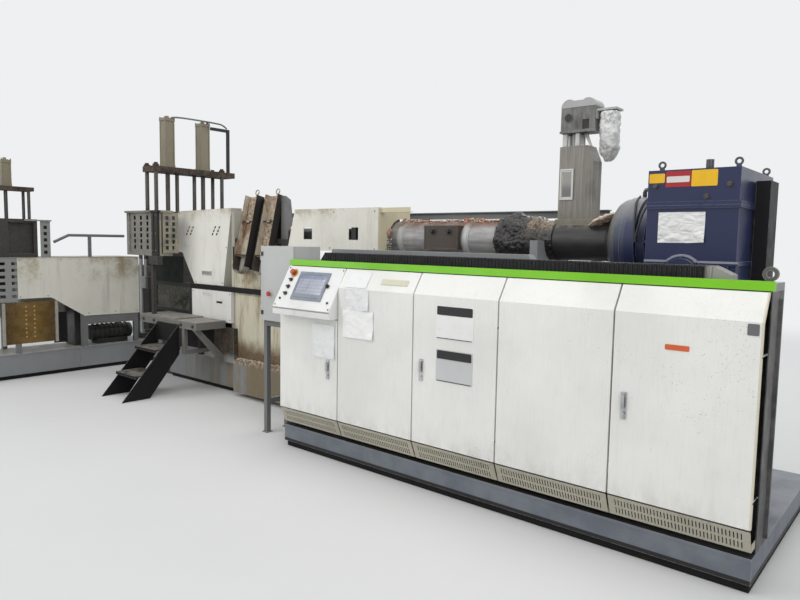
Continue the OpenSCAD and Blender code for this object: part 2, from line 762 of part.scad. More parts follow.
// Hood over the barrel's end: front sheet with two windows, top, back, and an
// end sheet cut out round the barrel
module head_cover() {
  back = 120;
  low = axis_h - 120;
  wins = [[-2406, -2290], [-1809, -1694]];
  front = [[hood_l - 105, low], [hood_l, head_top], [hood_r, head_top], [hood_r, low]];
  color("whitesmoke") {
    difference() {
      xz_prism(-head_y - skin, -head_y, front);
      for (w = wins) slab(w[0], w[1], -head_y - skin - 1, -head_y + 1, axis_h - 18, axis_h + 91);
    }
    slab(hood_l, hood_r, -head_y - skin, back, head_top, head_top + skin);
    difference() {
      slab(hood_r - skin, hood_r, -head_y, back - skin, low, head_top);
      rod_x(hood_r - skin - 1, hood_r + 1, cover_r + 22);
      slab(hood_r - skin - 1, hood_r + 1, -40, back, low - 1, axis_h + 80);
    }
    slab(hood_r, hood_r + 330, -head_y + 20, -head_y + 60, head_top - 40, head_top - 40 + skin);
    slab(hood_r, hood_r + 330, -head_y + 20, -head_y + 20 + skin, head_top - 37, head_top);
  }
}

// Posts and rails of square tube behind the covers, the black end panel, and
// the hose post on the main top plate
module head_frame() {
  posts = [-4200, -3550, hood_l + 5, hood_r - 325];
  rail_top = head_top;
  color("dimgray") {
    for (x = posts, y = [-head_y, head_y - tube]) slab(x, x + tube, y, y + tube, arm_base_h + 40, rail_top);
    for (x = posts) slab(x, x + tube, -head_y + tube, head_y - tube, rail_top - tube, rail_top);
    for (i = [0 : 2]) {
      slab(posts[i] + tube, posts[i + 1], head_y - tube, head_y, rail_top - tube, rail_top);
      // The front rail passes low behind the troughs
      front_top = i == 1 ? trough_rail : rail_top;
      slab(posts[i] + tube, posts[i + 1], -head_y, -head_y + tube, front_top - tube, front_top);
    }
    // Black end panel between the filter and the slanted guard
    slab(pane_l, -4470, -head_y - 6, -head_y, sill_top, guard_low - 38);
    slab(pane_r, pane_r + tube, -head_y - 6, -head_y + tube - 6, deck_z, sill_top + 70);
    slab(pane_l, pane_r, -head_y - 6, -head_y + tube - 6, skirt_top, sill_top);
    slab(pane_l, pane_r, -head_y - 6, -head_y + tube - 6, deck_z, deck_z + 45);
    slab(pane_l, pane_l + tube, -head_y - 6, -head_y + tube - 6, deck_z + 45, skirt_top);
    // Grey plate between the troughs and the hood
    xz_prism(-head_y + tube, -head_y + tube + 6, [
      [-2798, axis_h - 110], [-2798, axis_h + 405], [-2730, axis_h + 400], [-2660, axis_h + 360],
      [-2625, axis_h + 130], [-2690, axis_h + 60], [-2700, axis_h - 110]
    ]);
    // Hose post and its rail over the main top plate
    slab(filter_x + 60, filter_x + 92, 560, 592, plate_z + plate_t, plate_z + plate_t + 540);
    slab(filter_x + 60, filter_x + 92, filter_y + 240 + 0.6 * cyl_w, 560, plate_z + plate_t + 505, plate_z + plate_t + 540);
  }
}

// Outline of a trough: straight sides and a round lower end
module trough_outline(w, l) {
  translate([0, w / 2]) circle(d = w);
  translate([-w / 2, w / 2]) square([w, l - w / 2]);
}
module trough(x) {
  wall = 6;
  z_low = axis_h - 370;
  y_low = -head_y - 162;
  seat = trough_rail - 25;
  translate([x + trough_w / 2, y_low, z_low]) rotate([90 - trough_lean, 0, 0]) translate([0, 0, -trough_d]) {
    difference() {
      linear_extrude(trough_d) trough_outline(trough_w, trough_l);
      translate([0, wall, wall]) linear_extrude(trough_d) trough_outline(trough_w - 2 * wall, trough_l);
    }
    // Cross ledge, handle bar and the hanger at the top
    translate([-trough_w / 2 + wall, 178, wall]) cube([trough_w - 2 * wall, wall, trough_d - 20]);
    translate([-trough_w / 2 + wall, 540, trough_d - 26]) rotate([0, 90, 0]) cylinder(h = trough_w - 2 * wall, r = 9);
    translate([-trough_w / 2, trough_l - 20, -22]) cube([trough_w, 20, 22]);
    translate([0, trough_l, 5]) {
      cube([16, 60, 10], center = true);
      translate([0, 46, 0]) rotate_extrude() translate([26, 0]) circle(r = 6, $fn = 24);
    }
  }
  slab(x + 60, x + 136, -head_y - 13, -head_y, seat - 20, seat + 20);
}
module troughs() {
  color("saddlebrown") for (x = [-3336, -3006]) trough(x);
}

// Slanted white guard with two groups of slots, a return at its right edge and a pull
module slant_guard() {
  top = axis_h + 290;
  low = sill_top + 5;
  slot = [26, 40];
  face = -head_y - skin;
  outline = [
    [guard_l, top - 14], [guard_r, top + 6], [guard_r - 150, low], [guard_r - 700, low - 10],
    [guard_r - 950, axis_h - 190], [guard_l - 110, axis_h - 190]
  ];
  color("whitesmoke") {
    difference() {
      xz_prism(face, -head_y, outline);
      for (x = [-4415, -3910], row = [0 : 2], col = [0, 1])
        translate([x + row * 24 + col * 78, face - 1, axis_h + 8 + row * 36])
          multmatrix([[1, 0, 0.55, 0], [0, 1, 0, 0], [0, 0, 1, 0], [0, 0, 0, 1]]) cube([slot[0], skin + 2, slot[1] * 0.6]);
    }
    // Return, notched round the frame's front rail
    difference() {
      xz_prism(-head_y, -head_y + 130, [
        [guard_r - 6, top + 6], [guard_r, top + 6], [guard_r - 150, low], [guard_r - 156, low]
      ]);
      slab(guard_r - 160, guard_r + 1, -head_y - 1, -head_y + tube + 5, head_top - tube - 5, head_top + 1);
    }
    slab(guard_l, guard_r - 6, -head_y, 0, head_top, head_top + skin);
    difference() {
      slab(-4098, -3908, face - 8, face + 1, low + 103, low + 151);
      slab(-4088, -3918, face - 9, face - 3, low + 111, low + 143);
    }
    rod_y(face - 10, face + 1, 16, -4405, axis_h - 94);
  }
}

// Housing under the hood and the troughs, with a stained skirt
module head_housing() {
  color("whitesmoke") {
    slab(-3495, hood_l - 20, -head_y, head_y, arm_base_h + 40, axis_h - 350);
    slab(-3430, -3040, -head_y - 14, -head_y, skirt_top + 28, axis_h - 352);
    slab(-3435, -2600, -head_y - 10, -head_y, 400, skirt_top - 20);
  }
}
// Grey base under the head, with a long ledge block in front
module head_base() {
  ledge_y = head_y + 100;
  color("slategray") {
    slab(base_l, -cab_w / 2, -head_y, head_y, plinth_h, arm_base_h + 40);
    slab(-3390, -2400, -ledge_y, -head_y, plinth_h, 384);
    slab(-3790, -3440, -head_y - 60, -head_y, arm_base_h + 40, deck_z - deck_h);
  }
}
// Lower panels with a slot pull, a dirty pane, and the dark rail over them
module head_panel() {
  color("whitesmoke") {
    difference() {
      slab(-4245, -3505, -head_y - 40, -head_y, 750, skirt_top);
      slab(-4025, -3895, -head_y - 41, -head_y - 28, skirt_top - 62, skirt_top - 34);
    }
    slab(-4290, -2560, -head_y - 24, -head_y, skirt_top + 6, skirt_top + 26);
    slab(pane_l + tube, pane_r, -head_y + 2, -head_y + 6, deck_z + 45, skirt_top);
  }
}

// Perforated guard box: two punched sheets between black posts under a rim
module punched(cols, rows, hole, pitch) {
  for (i = [0 : cols - 1], j = [0 : rows - 1]) translate([i * pitch[0], j * pitch[1]]) square(hole);
}
module perforated_guard() {
  x0 = -5015;
  x1 = -4395;
  y = -650;
  z0 = guard_low;
  z1 = axis_h + 250;
  color("darkgray") {
    translate([x0, y + skin, z0]) rotate([90, 0, 0]) linear_extrude(skin) difference() {
      square([x1 - x0 - 150, z1 - z0]);
      translate([80, 40]) punched(3, 6, [44, 46], [140, 66]);
    }
    translate([x1 - skin, y + 50, z0]) rotate([90, 0, 90]) linear_extrude(skin) difference() {
      square([190, z1 - z0]);
      translate([34, 40]) punched(2, 6, [36, 42], [80, 66]);
    }
    for (x = [x0 - 60, x1 - 150, x1 - 72]) slab(x, x + 60, y - 12, y + 40, z0, z1);
    slab(x0 - 60, x0 - 60 + skin, y + 40, -480, z0, z1);
    slab(x0 - 80, x1 + 15, y - 28, -480, z1, z1 + 22);
    slab(x0 - 60, x1 - 12, y - 12, -480, z0 - 30, z0);
  }
  small_guard();
}
// Guard of the smaller filter on the arm
module small_guard() {
  color("darkgray") {
    translate([-arm_x - skin, small_y + 470, arm_top + skin]) rotate([90, 0, 90]) linear_extrude(skin) difference() {
      square([110, 420]);
      translate([36, 40]) punched(1, 5, [38, 38], [80, 72]);
    }
    slab(-arm_x - skin, -arm_x + 20, small_y + 300, small_y + 590, arm_top + 420, arm_top + 436);
  }
}

// Filter bodies: a block across each barrel on a column, with conduits
module filter_body() {
  color("dimgray") {
    slab(filter_x - 150, filter_x + 150, -480, 480, guard_low, filter_top);
    slab(filter_x - 125, base_l, -250, 260, 0, guard_low);
    // Grey post, bracket, switch box and conduits beside the platform
    slab(-4570, -4530, -650, -610, deck_z + 12, guard_low - 30);
    slab(-4600, -4410, -660, -600, guard_low - 125, guard_low - 30);
    slab(-4783, -4629, -660, -600, sill_top - 63, sill_top + 72);
    for (x = [-4825, -4720]) rod_z(x == -4825 ? 560 : sill_top + 72, guard_low - 30, 21, x, -630);
    rod_y(-630, -250, 21, -4825, 560);
    translate([-4825, -630, 560]) sphere(r = 21);
    // Smaller filter body on the arm, open at its front
    difference() {
      slab(small_x - 190, -arm_x - skin - 1, small_y - 350, small_y + 440, arm_top + skin, arm_top + 440);
      slab(-arm_x - 60, -arm_x, small_y + 130, small_y + 400, arm_top + 50, arm_top + 400);
    }
  }
}
// A top plate with its corner nuts
module cross_plate(x, y0, y1, w, z, t) {
  slab(x - w / 2, x + w / 2, y0, y1, z, z + t);
}
module top_plate() {
  y0 = filter_y - 485;
  color("saddlebrown") {
    cross_plate(filter_x, y0, y0 + plate_l, 260, plate_z, plate_t);
    for (dx = [-100, 100], y = [filter_y - 447, filter_y + 447])
      translate([filter_x + dx, y, plate_z + plate_t]) {
        cylinder(h = 22, r = 36, $fn = 6);
        translate([0, 0, 22]) cylinder(h = 18, r = tie_d / 2);
      }
    cross_plate(small_x, small_y - 470, small_y + 470, 220, arm_top + 765, 45);
  }
}
module tie_bars() {
  small_low = arm_top + 440;
  color("dimgray") {
    for (y = [filter_y - 447, filter_y + 447], dx = [-100, 100]) rod_z(filter_top, plate_z, tie_d / 2, filter_x + dx, y);
    for (y = [filter_y - 118, filter_y + 118]) rod_z(filter_top, plate_z, tie_d / 2, filter_x, y);
    for (y = [small_y - 420, small_y + 420], dx = [-80, 80]) rod_z(small_low, arm_top + 765, 17, small_x + dx, y);
  }
  color("silver") {
    for (s = [-1, 1]) rod_z(filter_top, plate_z, 26, filter_x, filter_y + s * 240);
    for (s = [-1, 1]) rod_z(small_low, arm_top + 765, 20, small_x, small_y + s * 204);
  }
}
// Square cylinder with end caps and four tie rods at its corners
module cylinder_unit(x, y, z, w, h) {
  cap = 34;
  rod = w * 0.07;
  slab(x - w / 2, x + w / 2, y - w / 2, y + w / 2, z + cap, z + h - cap);
  for (dz = [0, h - cap]) slab(x - w * 0.58, x + w * 0.58, y - w * 0.58, y + w * 0.58, z + dz, z + dz + cap);
  for (sx = [-1, 1], sy = [-1, 1]) rod_z(z + cap, z + h + 14, rod, x + sx * w * 0.5, y + sy * w * 0.5);
  rod_z(z + h, z + h + 26, w * 0.2, x, y);
}
module cylinders() {
  color("darkkhaki") {
    for (s = [-1, 1]) cylinder_unit(filter_x, filter_y + s * 240, plate_z + plate_t, cyl_w, cyl_h);
    for (s = [-1, 1]) cylinder_unit(small_x, small_y + s * 204, arm_top + 810, 92, 300);
  }
}

// Work platform with a checker plate, a skirt and a brace to the base
module work_platform() {
  y0 = -deck_y;
  y1 = -head_y - 62;
  z0 = deck_z - deck_h;
  color("dimgray") {
    difference() {
      slab(deck_l, deck_r, y0, y1, z0, deck_z);
      slab(deck_l + 8, deck_r - 8, y0 + 8, y1 - 8, z0 - 1, deck_z - 8);
    }
    slab(deck_l, -3990, y0 + 6, y1, deck_z, deck_z + 12);
    xz_prism_brace(deck_r - 90);
    slab(-3860, -3815, y0 + 8, y0 + 48, 420, z0);
    slab(-3860, -3815, y0 + 48, -head_y, 420, 460);
  }
}
// A flat brace from the platform's front edge down to the head's base
module xz_prism_brace(x) {
  z0 = deck_z - deck_h;
  yz_prism(x, x + 50, [[-deck_y + 8, z0], [-deck_y + 70, z0], [-head_y - 60, 400], [-head_y - 60, 334], [-head_y - 90, 334]]);
}
module stairs() {
  x0 = -4325;
  tread_t = 12;
  top = deck_z - 40;
  color("black") {
    for (x = [x0, x0 + stair_w - 8]) yz_prism(x, x + 8, [
      [-deck_y, top], [-deck_y, top - 315], [-deck_y - stair_run + 300, 0], [-deck_y - stair_run, 0]
    ]);
    for (k = [1, 2]) {
      y = -deck_y - stair_run * k / 3;
      z = top * (1 - k / 3);
      difference() {
        slab(x0 + 8, x0 + stair_w - 8, y - 60, y + 230, z - 30, z);
        slab(x0 + 7, x0 + stair_w - 7, y - 60 + tread_t, y + 230 - tread_t, z - 31, z - tread_t);
      }
    }
    slab(x0 + 8, x0 + stair_w - 8, -deck_y - 12, -deck_y, top - 200, top);
  }
}

// Electrical box on its stand: an open case, hinges, and a door with a stop button
module ebox() {
  color("lightgray") {
    difference() {
      slab(ebox_x, ebox_x + ebox_w, ebox_y, ebox_y + ebox_d, ebox_z, ebox_z + ebox_h);
      slab(ebox_x + skin, ebox_x + ebox_w - skin, ebox_y - 1, ebox_y + ebox_d - skin, ebox_z + skin, ebox_z + ebox_h - skin);
    }
    ebox_hinges_fixed();
  }
}
// Box side of the two hinges: a knuckle with its pin on a block
module ebox_hinges_fixed() {
  for (z = ebox_hinges) {
    rod_z(z - 10.5, z + 10.5, 6, ebox_pin.x, ebox_pin.y);
    rod_z(z - 33, z + 33, 4, ebox_pin.x, ebox_pin.y);
    slab(ebox_pin.x - 6, ebox_pin.x + 6, ebox_pin.y, ebox_y + 8, z - 10.5, z + 10.5);
    slab(ebox_pin.x - 6, ebox_x, ebox_y, ebox_y + 26, z - 10.5, z + 10.5);
  }
}
module ebox_stand() {
  bar = 40;
  x0 = ebox_x + 5;
  x1 = ebox_x + ebox_w - 5;
  y0 = ebox_y + 5;
  y1 = ebox_y + ebox_d - 5;
  rail_z = 250;
  color("gray") {
    for (x = [x0, x1 - bar], y = [y0, y1 - bar]) {
      slab(x, x + bar, y, y + bar, 0, ebox_z - bar - 10);
      slab(x - 12, x + bar + 12, y - 12, y + bar + 12, 0, 6);
    }
    for (y = [y0, y1 - bar]) slab(x0, x1, y, y + bar, ebox_z - bar - 10, ebox_z);
    for (x = [x0, x1 - bar]) slab(x, x + bar, y0 + bar, y1 - bar, rail_z, rail_z + bar);
    slab(x1, -cab_w / 2, y0, y0 + bar, rail_z, rail_z + bar);
  }
}
module ebox_door() {
  t = 20;
  color("lightgray") {
    difference() {
      union() {
        slab(ebox_x, ebox_x + ebox_w, ebox_y - t - 2, ebox_y - 2, ebox_z, ebox_z + ebox_h);
        for (z = ebox_hinges, s = [-1, 1])
          rod_z(z + s * 22 - 11, z + s * 22 + 11, 10, ebox_pin.x, ebox_pin.y);
      }
      for (z = ebox_hinges) rod_z(z - 40, z + 40, 4 + run, ebox_pin.x, ebox_pin.y);
    }
    rod_y(ebox_y - t - 16, ebox_y - t - 2, 14, ebox_x + 122, ebox_z + 226);
    rod_y(ebox_y - t - 28, ebox_y - t - 16, 20, ebox_x + 122, ebox_z + 226);
    rod_y(ebox_y - t - 10, ebox_y - t - 2, 12, ebox_x + ebox_w - 30, ebox_z + 0.5 * ebox_h);
  }
}

// Beam of a rolled section on two posts behind the barrel
module rear_beam() {
  y = stand_y;
  z = axis_h + 180;
  web = 8;
  color("steelblue") {
    yz_prism(-1700, 300, [
      [y, z], [y + 60, z], [y + 60, z + web], [y + 34, z + web], [y + 34, z + 60 - web], [y + 60, z + 60 - web],
      [y + 60, z + 60], [y, z + 60], [y, z + 60 - web], [y + 26, z + 60 - web], [y + 26, z + web], [y, z + web]
    ]);
    for (x = [-1500, 180]) slab(x, x + 60, y, y + 60, base_h, z);
  }
}

// Second extruder, set across the far end
module arm_base() {
  lip = 10;
  color("slategray") {
    slab(-arm_x - arm_w, -arm_x, -arm_l, base_back, plinth_h, arm_base_h - lip);
    slab(-arm_x - arm_w, -arm_x + lip, -arm_l, base_back, arm_base_h - lip, arm_base_h);
    for (y = [-arm_l + 420, -900]) slab(-arm_x, -arm_x + 6, y, y + 16, plinth_h, arm_base_h - lip);
  }
}
// Barrel, its stands, a drive beside it, and the pipe to the main head
module arm_barrel() {
  z = 1155;
  pipe_y = 200;
  color("dimgray") {
    rod_y(-arm_l, 350, 120, small_x, z);
    for (y = [-900, 0]) slab(small_x - 100, small_x + 100, y, y + 90, arm_base_h, z);
    rod_z(z, axis_h, core_r, small_x, pipe_y);
    rod_x(small_x, filter_x - 150, core_r, pipe_y, axis_h);
    translate([small_x, pipe_y, axis_h]) sphere(r = core_r);
    rod_y(-700, -180, 95, small_x + 60, 430);
    for (y = [-660 : 60 : -240]) rod_y(y, y + 14, 104, small_x + 60, 430);
    slab(small_x - 20, small_x + 140, -640, -240, arm_base_h, 350);
  }
}
// Legs and rails, and the conduit on its bracket over the cover
module arm_frame() {
  front = -arm_x - skin - tube;
  back = -arm_x - arm_w + skin;
  legs = [-arm_l + 10, -1610, -870, -200];
  z = arm_top + 265;
  color("gray") {
    for (x = [front, back], y = legs) slab(x, x + tube, y, y + (y == -870 ? 1.4 : 1) * tube, arm_base_h, arm_top);
    for (x = [front, back]) slab(x, x + tube, -870 + 1.4 * tube, -200, 560, 660);
    // Conduit along the cover, raised on one bracket
    rod_y(-990, -300, 17, -arm_x - 40, z);
    translate([-arm_x - 40, -990, z]) sphere(r = 17);
    translate([-arm_x - 40, -990, z]) rotate([90 + 26, 0, 0]) cylinder(h = 190, r = 17);
    slab(-arm_x - 56, -arm_x - 24, -756, -724, arm_top + skin, z);
  }
}
// Cover with a stepped lower edge and a top sheet
module arm_cover() {
  color("whitesmoke") {
    yz_prism(-arm_x - skin, -arm_x, [
      [-1584, arm_top], [-129, arm_top], [-129, 662], [-837, 670], [-1224, 918], [-1584, 918]
    ]);
    slab(-arm_x - arm_w, -arm_x + 8, -arm_l, -129, arm_top, arm_top + skin);
    slab(-arm_x - arm_w, -arm_x - arm_w + skin, -arm_l, -129, 662, arm_top);
  }
}
module arm_guard() {
  w = arm_l - 1584;
  color("darkgray") translate([-arm_x - skin, -arm_l, 884]) rotate([90, 0, 90]) linear_extrude(skin) difference() {
    square([w, arm_top - 884]);
    translate([w - 60 - 5 * 130, 50]) punched(6, 6, [64, 34], [130, 74]);
  }
}
module arm_screen() {
  color("darkorange") {
    slab(-arm_x - skin, -arm_x, -1747, -1165, 400, 875);
    slab(-arm_x, -arm_x + 10, -1757, -1725, 390, 875);
    slab(-arm_x, -arm_x + 10, -1187, -1155, 390, 875);
  }
}

base_frame();
plinth();
cabinet_back();
cabinet_deck();
cabinet_ends();
cabinet_dividers();
green_fascia();
panel_2();
panel_4();
vent_bands();
door_1();
handle_1();
door_3();
handle_3();
door_5();
handle_5();
hinge_pins();
console_body();
console_screen();
console_buttons();
cable_tray();
barrel_cover();
terminal_box();
melt_collar();
feed_barrel();
bearing_housing();
gearbox_lower();
gearbox_upper();
gearbox_cap();
belt_guard();
drive_motor();
barrel_stand();
feed_tower();
tower_head();
belt_cover();
crammer_motor();
head_cover();
head_frame();
troughs();
slant_guard();
head_housing();
head_base();
head_panel();
perforated_guard();
filter_body();
top_plate();
tie_bars();
cylinders();
work_platform();
stairs();
ebox();
ebox_stand();
ebox_door();
rear_beam();
arm_base();
arm_barrel();
arm_frame();
arm_cover();
arm_guard();
arm_screen();
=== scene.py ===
"""Dresses the plastic extruder: finishes, papers, fasteners, dirt and the photograph's view."""

import math
import random

import bmesh
import bpy
from mathutils import Matrix, Vector


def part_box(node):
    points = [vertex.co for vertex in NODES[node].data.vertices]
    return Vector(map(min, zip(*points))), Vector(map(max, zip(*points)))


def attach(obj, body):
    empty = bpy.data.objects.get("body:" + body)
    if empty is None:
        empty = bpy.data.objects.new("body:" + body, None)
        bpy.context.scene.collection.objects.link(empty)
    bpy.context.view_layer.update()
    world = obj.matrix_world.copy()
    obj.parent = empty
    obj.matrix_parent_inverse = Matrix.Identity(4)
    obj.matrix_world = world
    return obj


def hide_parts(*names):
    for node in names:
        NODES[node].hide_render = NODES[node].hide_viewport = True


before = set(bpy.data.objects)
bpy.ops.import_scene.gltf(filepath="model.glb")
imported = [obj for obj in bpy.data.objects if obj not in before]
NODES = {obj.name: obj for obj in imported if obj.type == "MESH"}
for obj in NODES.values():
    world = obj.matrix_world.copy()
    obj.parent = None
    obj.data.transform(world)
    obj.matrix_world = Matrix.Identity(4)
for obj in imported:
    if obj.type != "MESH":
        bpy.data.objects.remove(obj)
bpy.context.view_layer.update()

bl_info = {
    "name": "Plastic Extruder Dressing",
    "version": (1, 0, 0),
    "blender": (4, 5, 0),
    "location": "3D View > Sidebar > Extruder",
    "description": "Finishes and fittings of a plastic extruder line",
    "category": "Object",
}

# View of the photograph, 800 pixels wide
PHOTO_WIDTH = 800
FOCAL_PIXELS = 662.09
EYE = (2.355, -4.5, 1.65)
TURN_LEFT = 40.273
LOOK_DOWN = 5.099
ROLL = 0.956

# Places on the machine, in metres; leans in degrees
AXIS_Z = 1.670
FACE_Y = -1.172
FOLD_Z = 1.308
SHOULDER = (0.087, 0.134)  # depth and height of the slope above the fold
CONSOLE_TOP = (-1.085, 1.442)  # y and z of the sloped face's upper edge
CONSOLE_SLOPE = 0.352
CONSOLE_LEAN = 29.4
GEARBOX_Y = -0.400
DECK_Y = -0.718
TOWER_Y = -0.072
HOOD_Y = -0.3032
LOWER_PANEL_Y = -0.3402
PUNCHED_Y = -0.6622
ARM_X = -5.8148
BOX_HINGE_X = -2.105
COVER_ENDS = (-1.44, -0.41)
COVER_RADIUS = 0.1495
MASS_RADIUS = 0.182
SLEEVE_RADIUS = 0.146
HOUSING_TOP = AXIS_Z + 0.315
LEDGE_Z = 0.387
LEDGE_EDGE_Y = -0.396
TROUGHS = (-3.238, -2.908)
TROUGH_FOOT = (-0.462, 1.300)  # y and z
TROUGH_LEAN = 77
ARCH = (1.080, 1.477)  # x and z of the arch in the gearbox's flange
HOLE_COLUMNS = (-1.505, -1.415)
HOLE_STEP = 0.05
MIDDLE = (-2.3, -0.8)  # x and y of the machine's middle on the floor

# Small measures of the fittings, in metres
SHEET_GAP = 0.0055
LABEL_DEPTH = 0.0024
BAND_RISE = 0.0022
FINE_VOXEL = 0.005
COARSE_VOXEL = 0.006

# Turn of a cylinder that lies along the machine
LYING = (0, math.pi / 2, 0)

# Light: lamps by name, place, aim, size in metres and power in watts
BACKGROUND = (0.86, 0.87, 0.88)
SKY = (0.93, 0.96, 1.0)
SKY_STRENGTH = 0.46
LAMPS = (("overhead", (0.5, -1.5, 7.5), (0, 0, 0), 9.0, 330),
         ("left_front", (-6.5, -7.0, 5.0), (-1.5, 0, 1), 5.0, 260),
         ("right_front", (6.5, -5.5, 4.5), (0.5, 0, 1), 4.0, 190),
         ("behind", (-1.0, 6.5, 5.5), (0, 0, 1), 5.0, 180))


def colour_property(name, text, value):
    return bpy.props.FloatVectorProperty(
        name=name, description=text, subtype="COLOR", size=3, min=0, max=1, default=value)


def length_property(name, text, value):
    return bpy.props.FloatProperty(
        name=name, description=text, unit="LENGTH", min=0.0005, max=2, default=value)


class ExtruderColours(bpy.types.PropertyGroup):
    white: colour_property("White sheet", "Enamel of the panels and hoods", (0.79, 0.785, 0.745))
    green: colour_property("Green fascia", "Strip above the panels", (0.17, 0.50, 0.003))
    grey: colour_property("Frame grey", "Paint of the base frames", (0.225, 0.235, 0.24))
    navy: colour_property("Gearbox navy", "Enamel of the gearbox", (0.012, 0.018, 0.066))
    blue_grey: colour_property("Housing blue-grey", "Paint of the bearing housing", (0.045, 0.056, 0.09))
    rust: colour_property("Rust", "Rusty plates and streaks", (0.085, 0.036, 0.016))
    dust: colour_property("Dust", "Plastic dust that lies on ledges", (0.36, 0.33, 0.28))


class ExtruderSizes(bpy.types.PropertyGroup):
    bolt: length_property("Bolt", "Width across the flats of a bolt head", 0.026)
    screw: length_property("Screw", "Diameter of a sheet screw's head", 0.014)
    paper: length_property("Paper", "Thickness of a sheet of paper or a sign", 0.0012)
    chip: length_property("Plastic chip", "Size of a chip of plastic", 0.011)
    pipe: length_property("Pipe", "Diameter of the pipes on the bearing housing", 0.026)


def tint(name):
    """One of the scene's colours."""
    return tuple(getattr(bpy.context.scene.extruder_colours, name))


def sizes():
    return bpy.context.scene.extruder_sizes


# Materials

def new_node(tree, kind, feeds=None, **settings):
    """Adds one shader node; feeds are its inputs' values or the sockets that lead to them."""
    node = tree.nodes.new("ShaderNode" + kind)
    for key, value in settings.items():
        setattr(node, key, value)
    for socket, value in (feeds or {}).items():
        feed(tree, node.inputs[socket], value)
    return node


def feed(tree, socket, value):
    if isinstance(value, bpy.types.NodeSocket):
        tree.links.new(value, socket)
    elif hasattr(value, "__len__") and len(value) == 3 and socket.type == "RGBA":
        socket.default_value = (*value, 1)
    else:
        socket.default_value = value


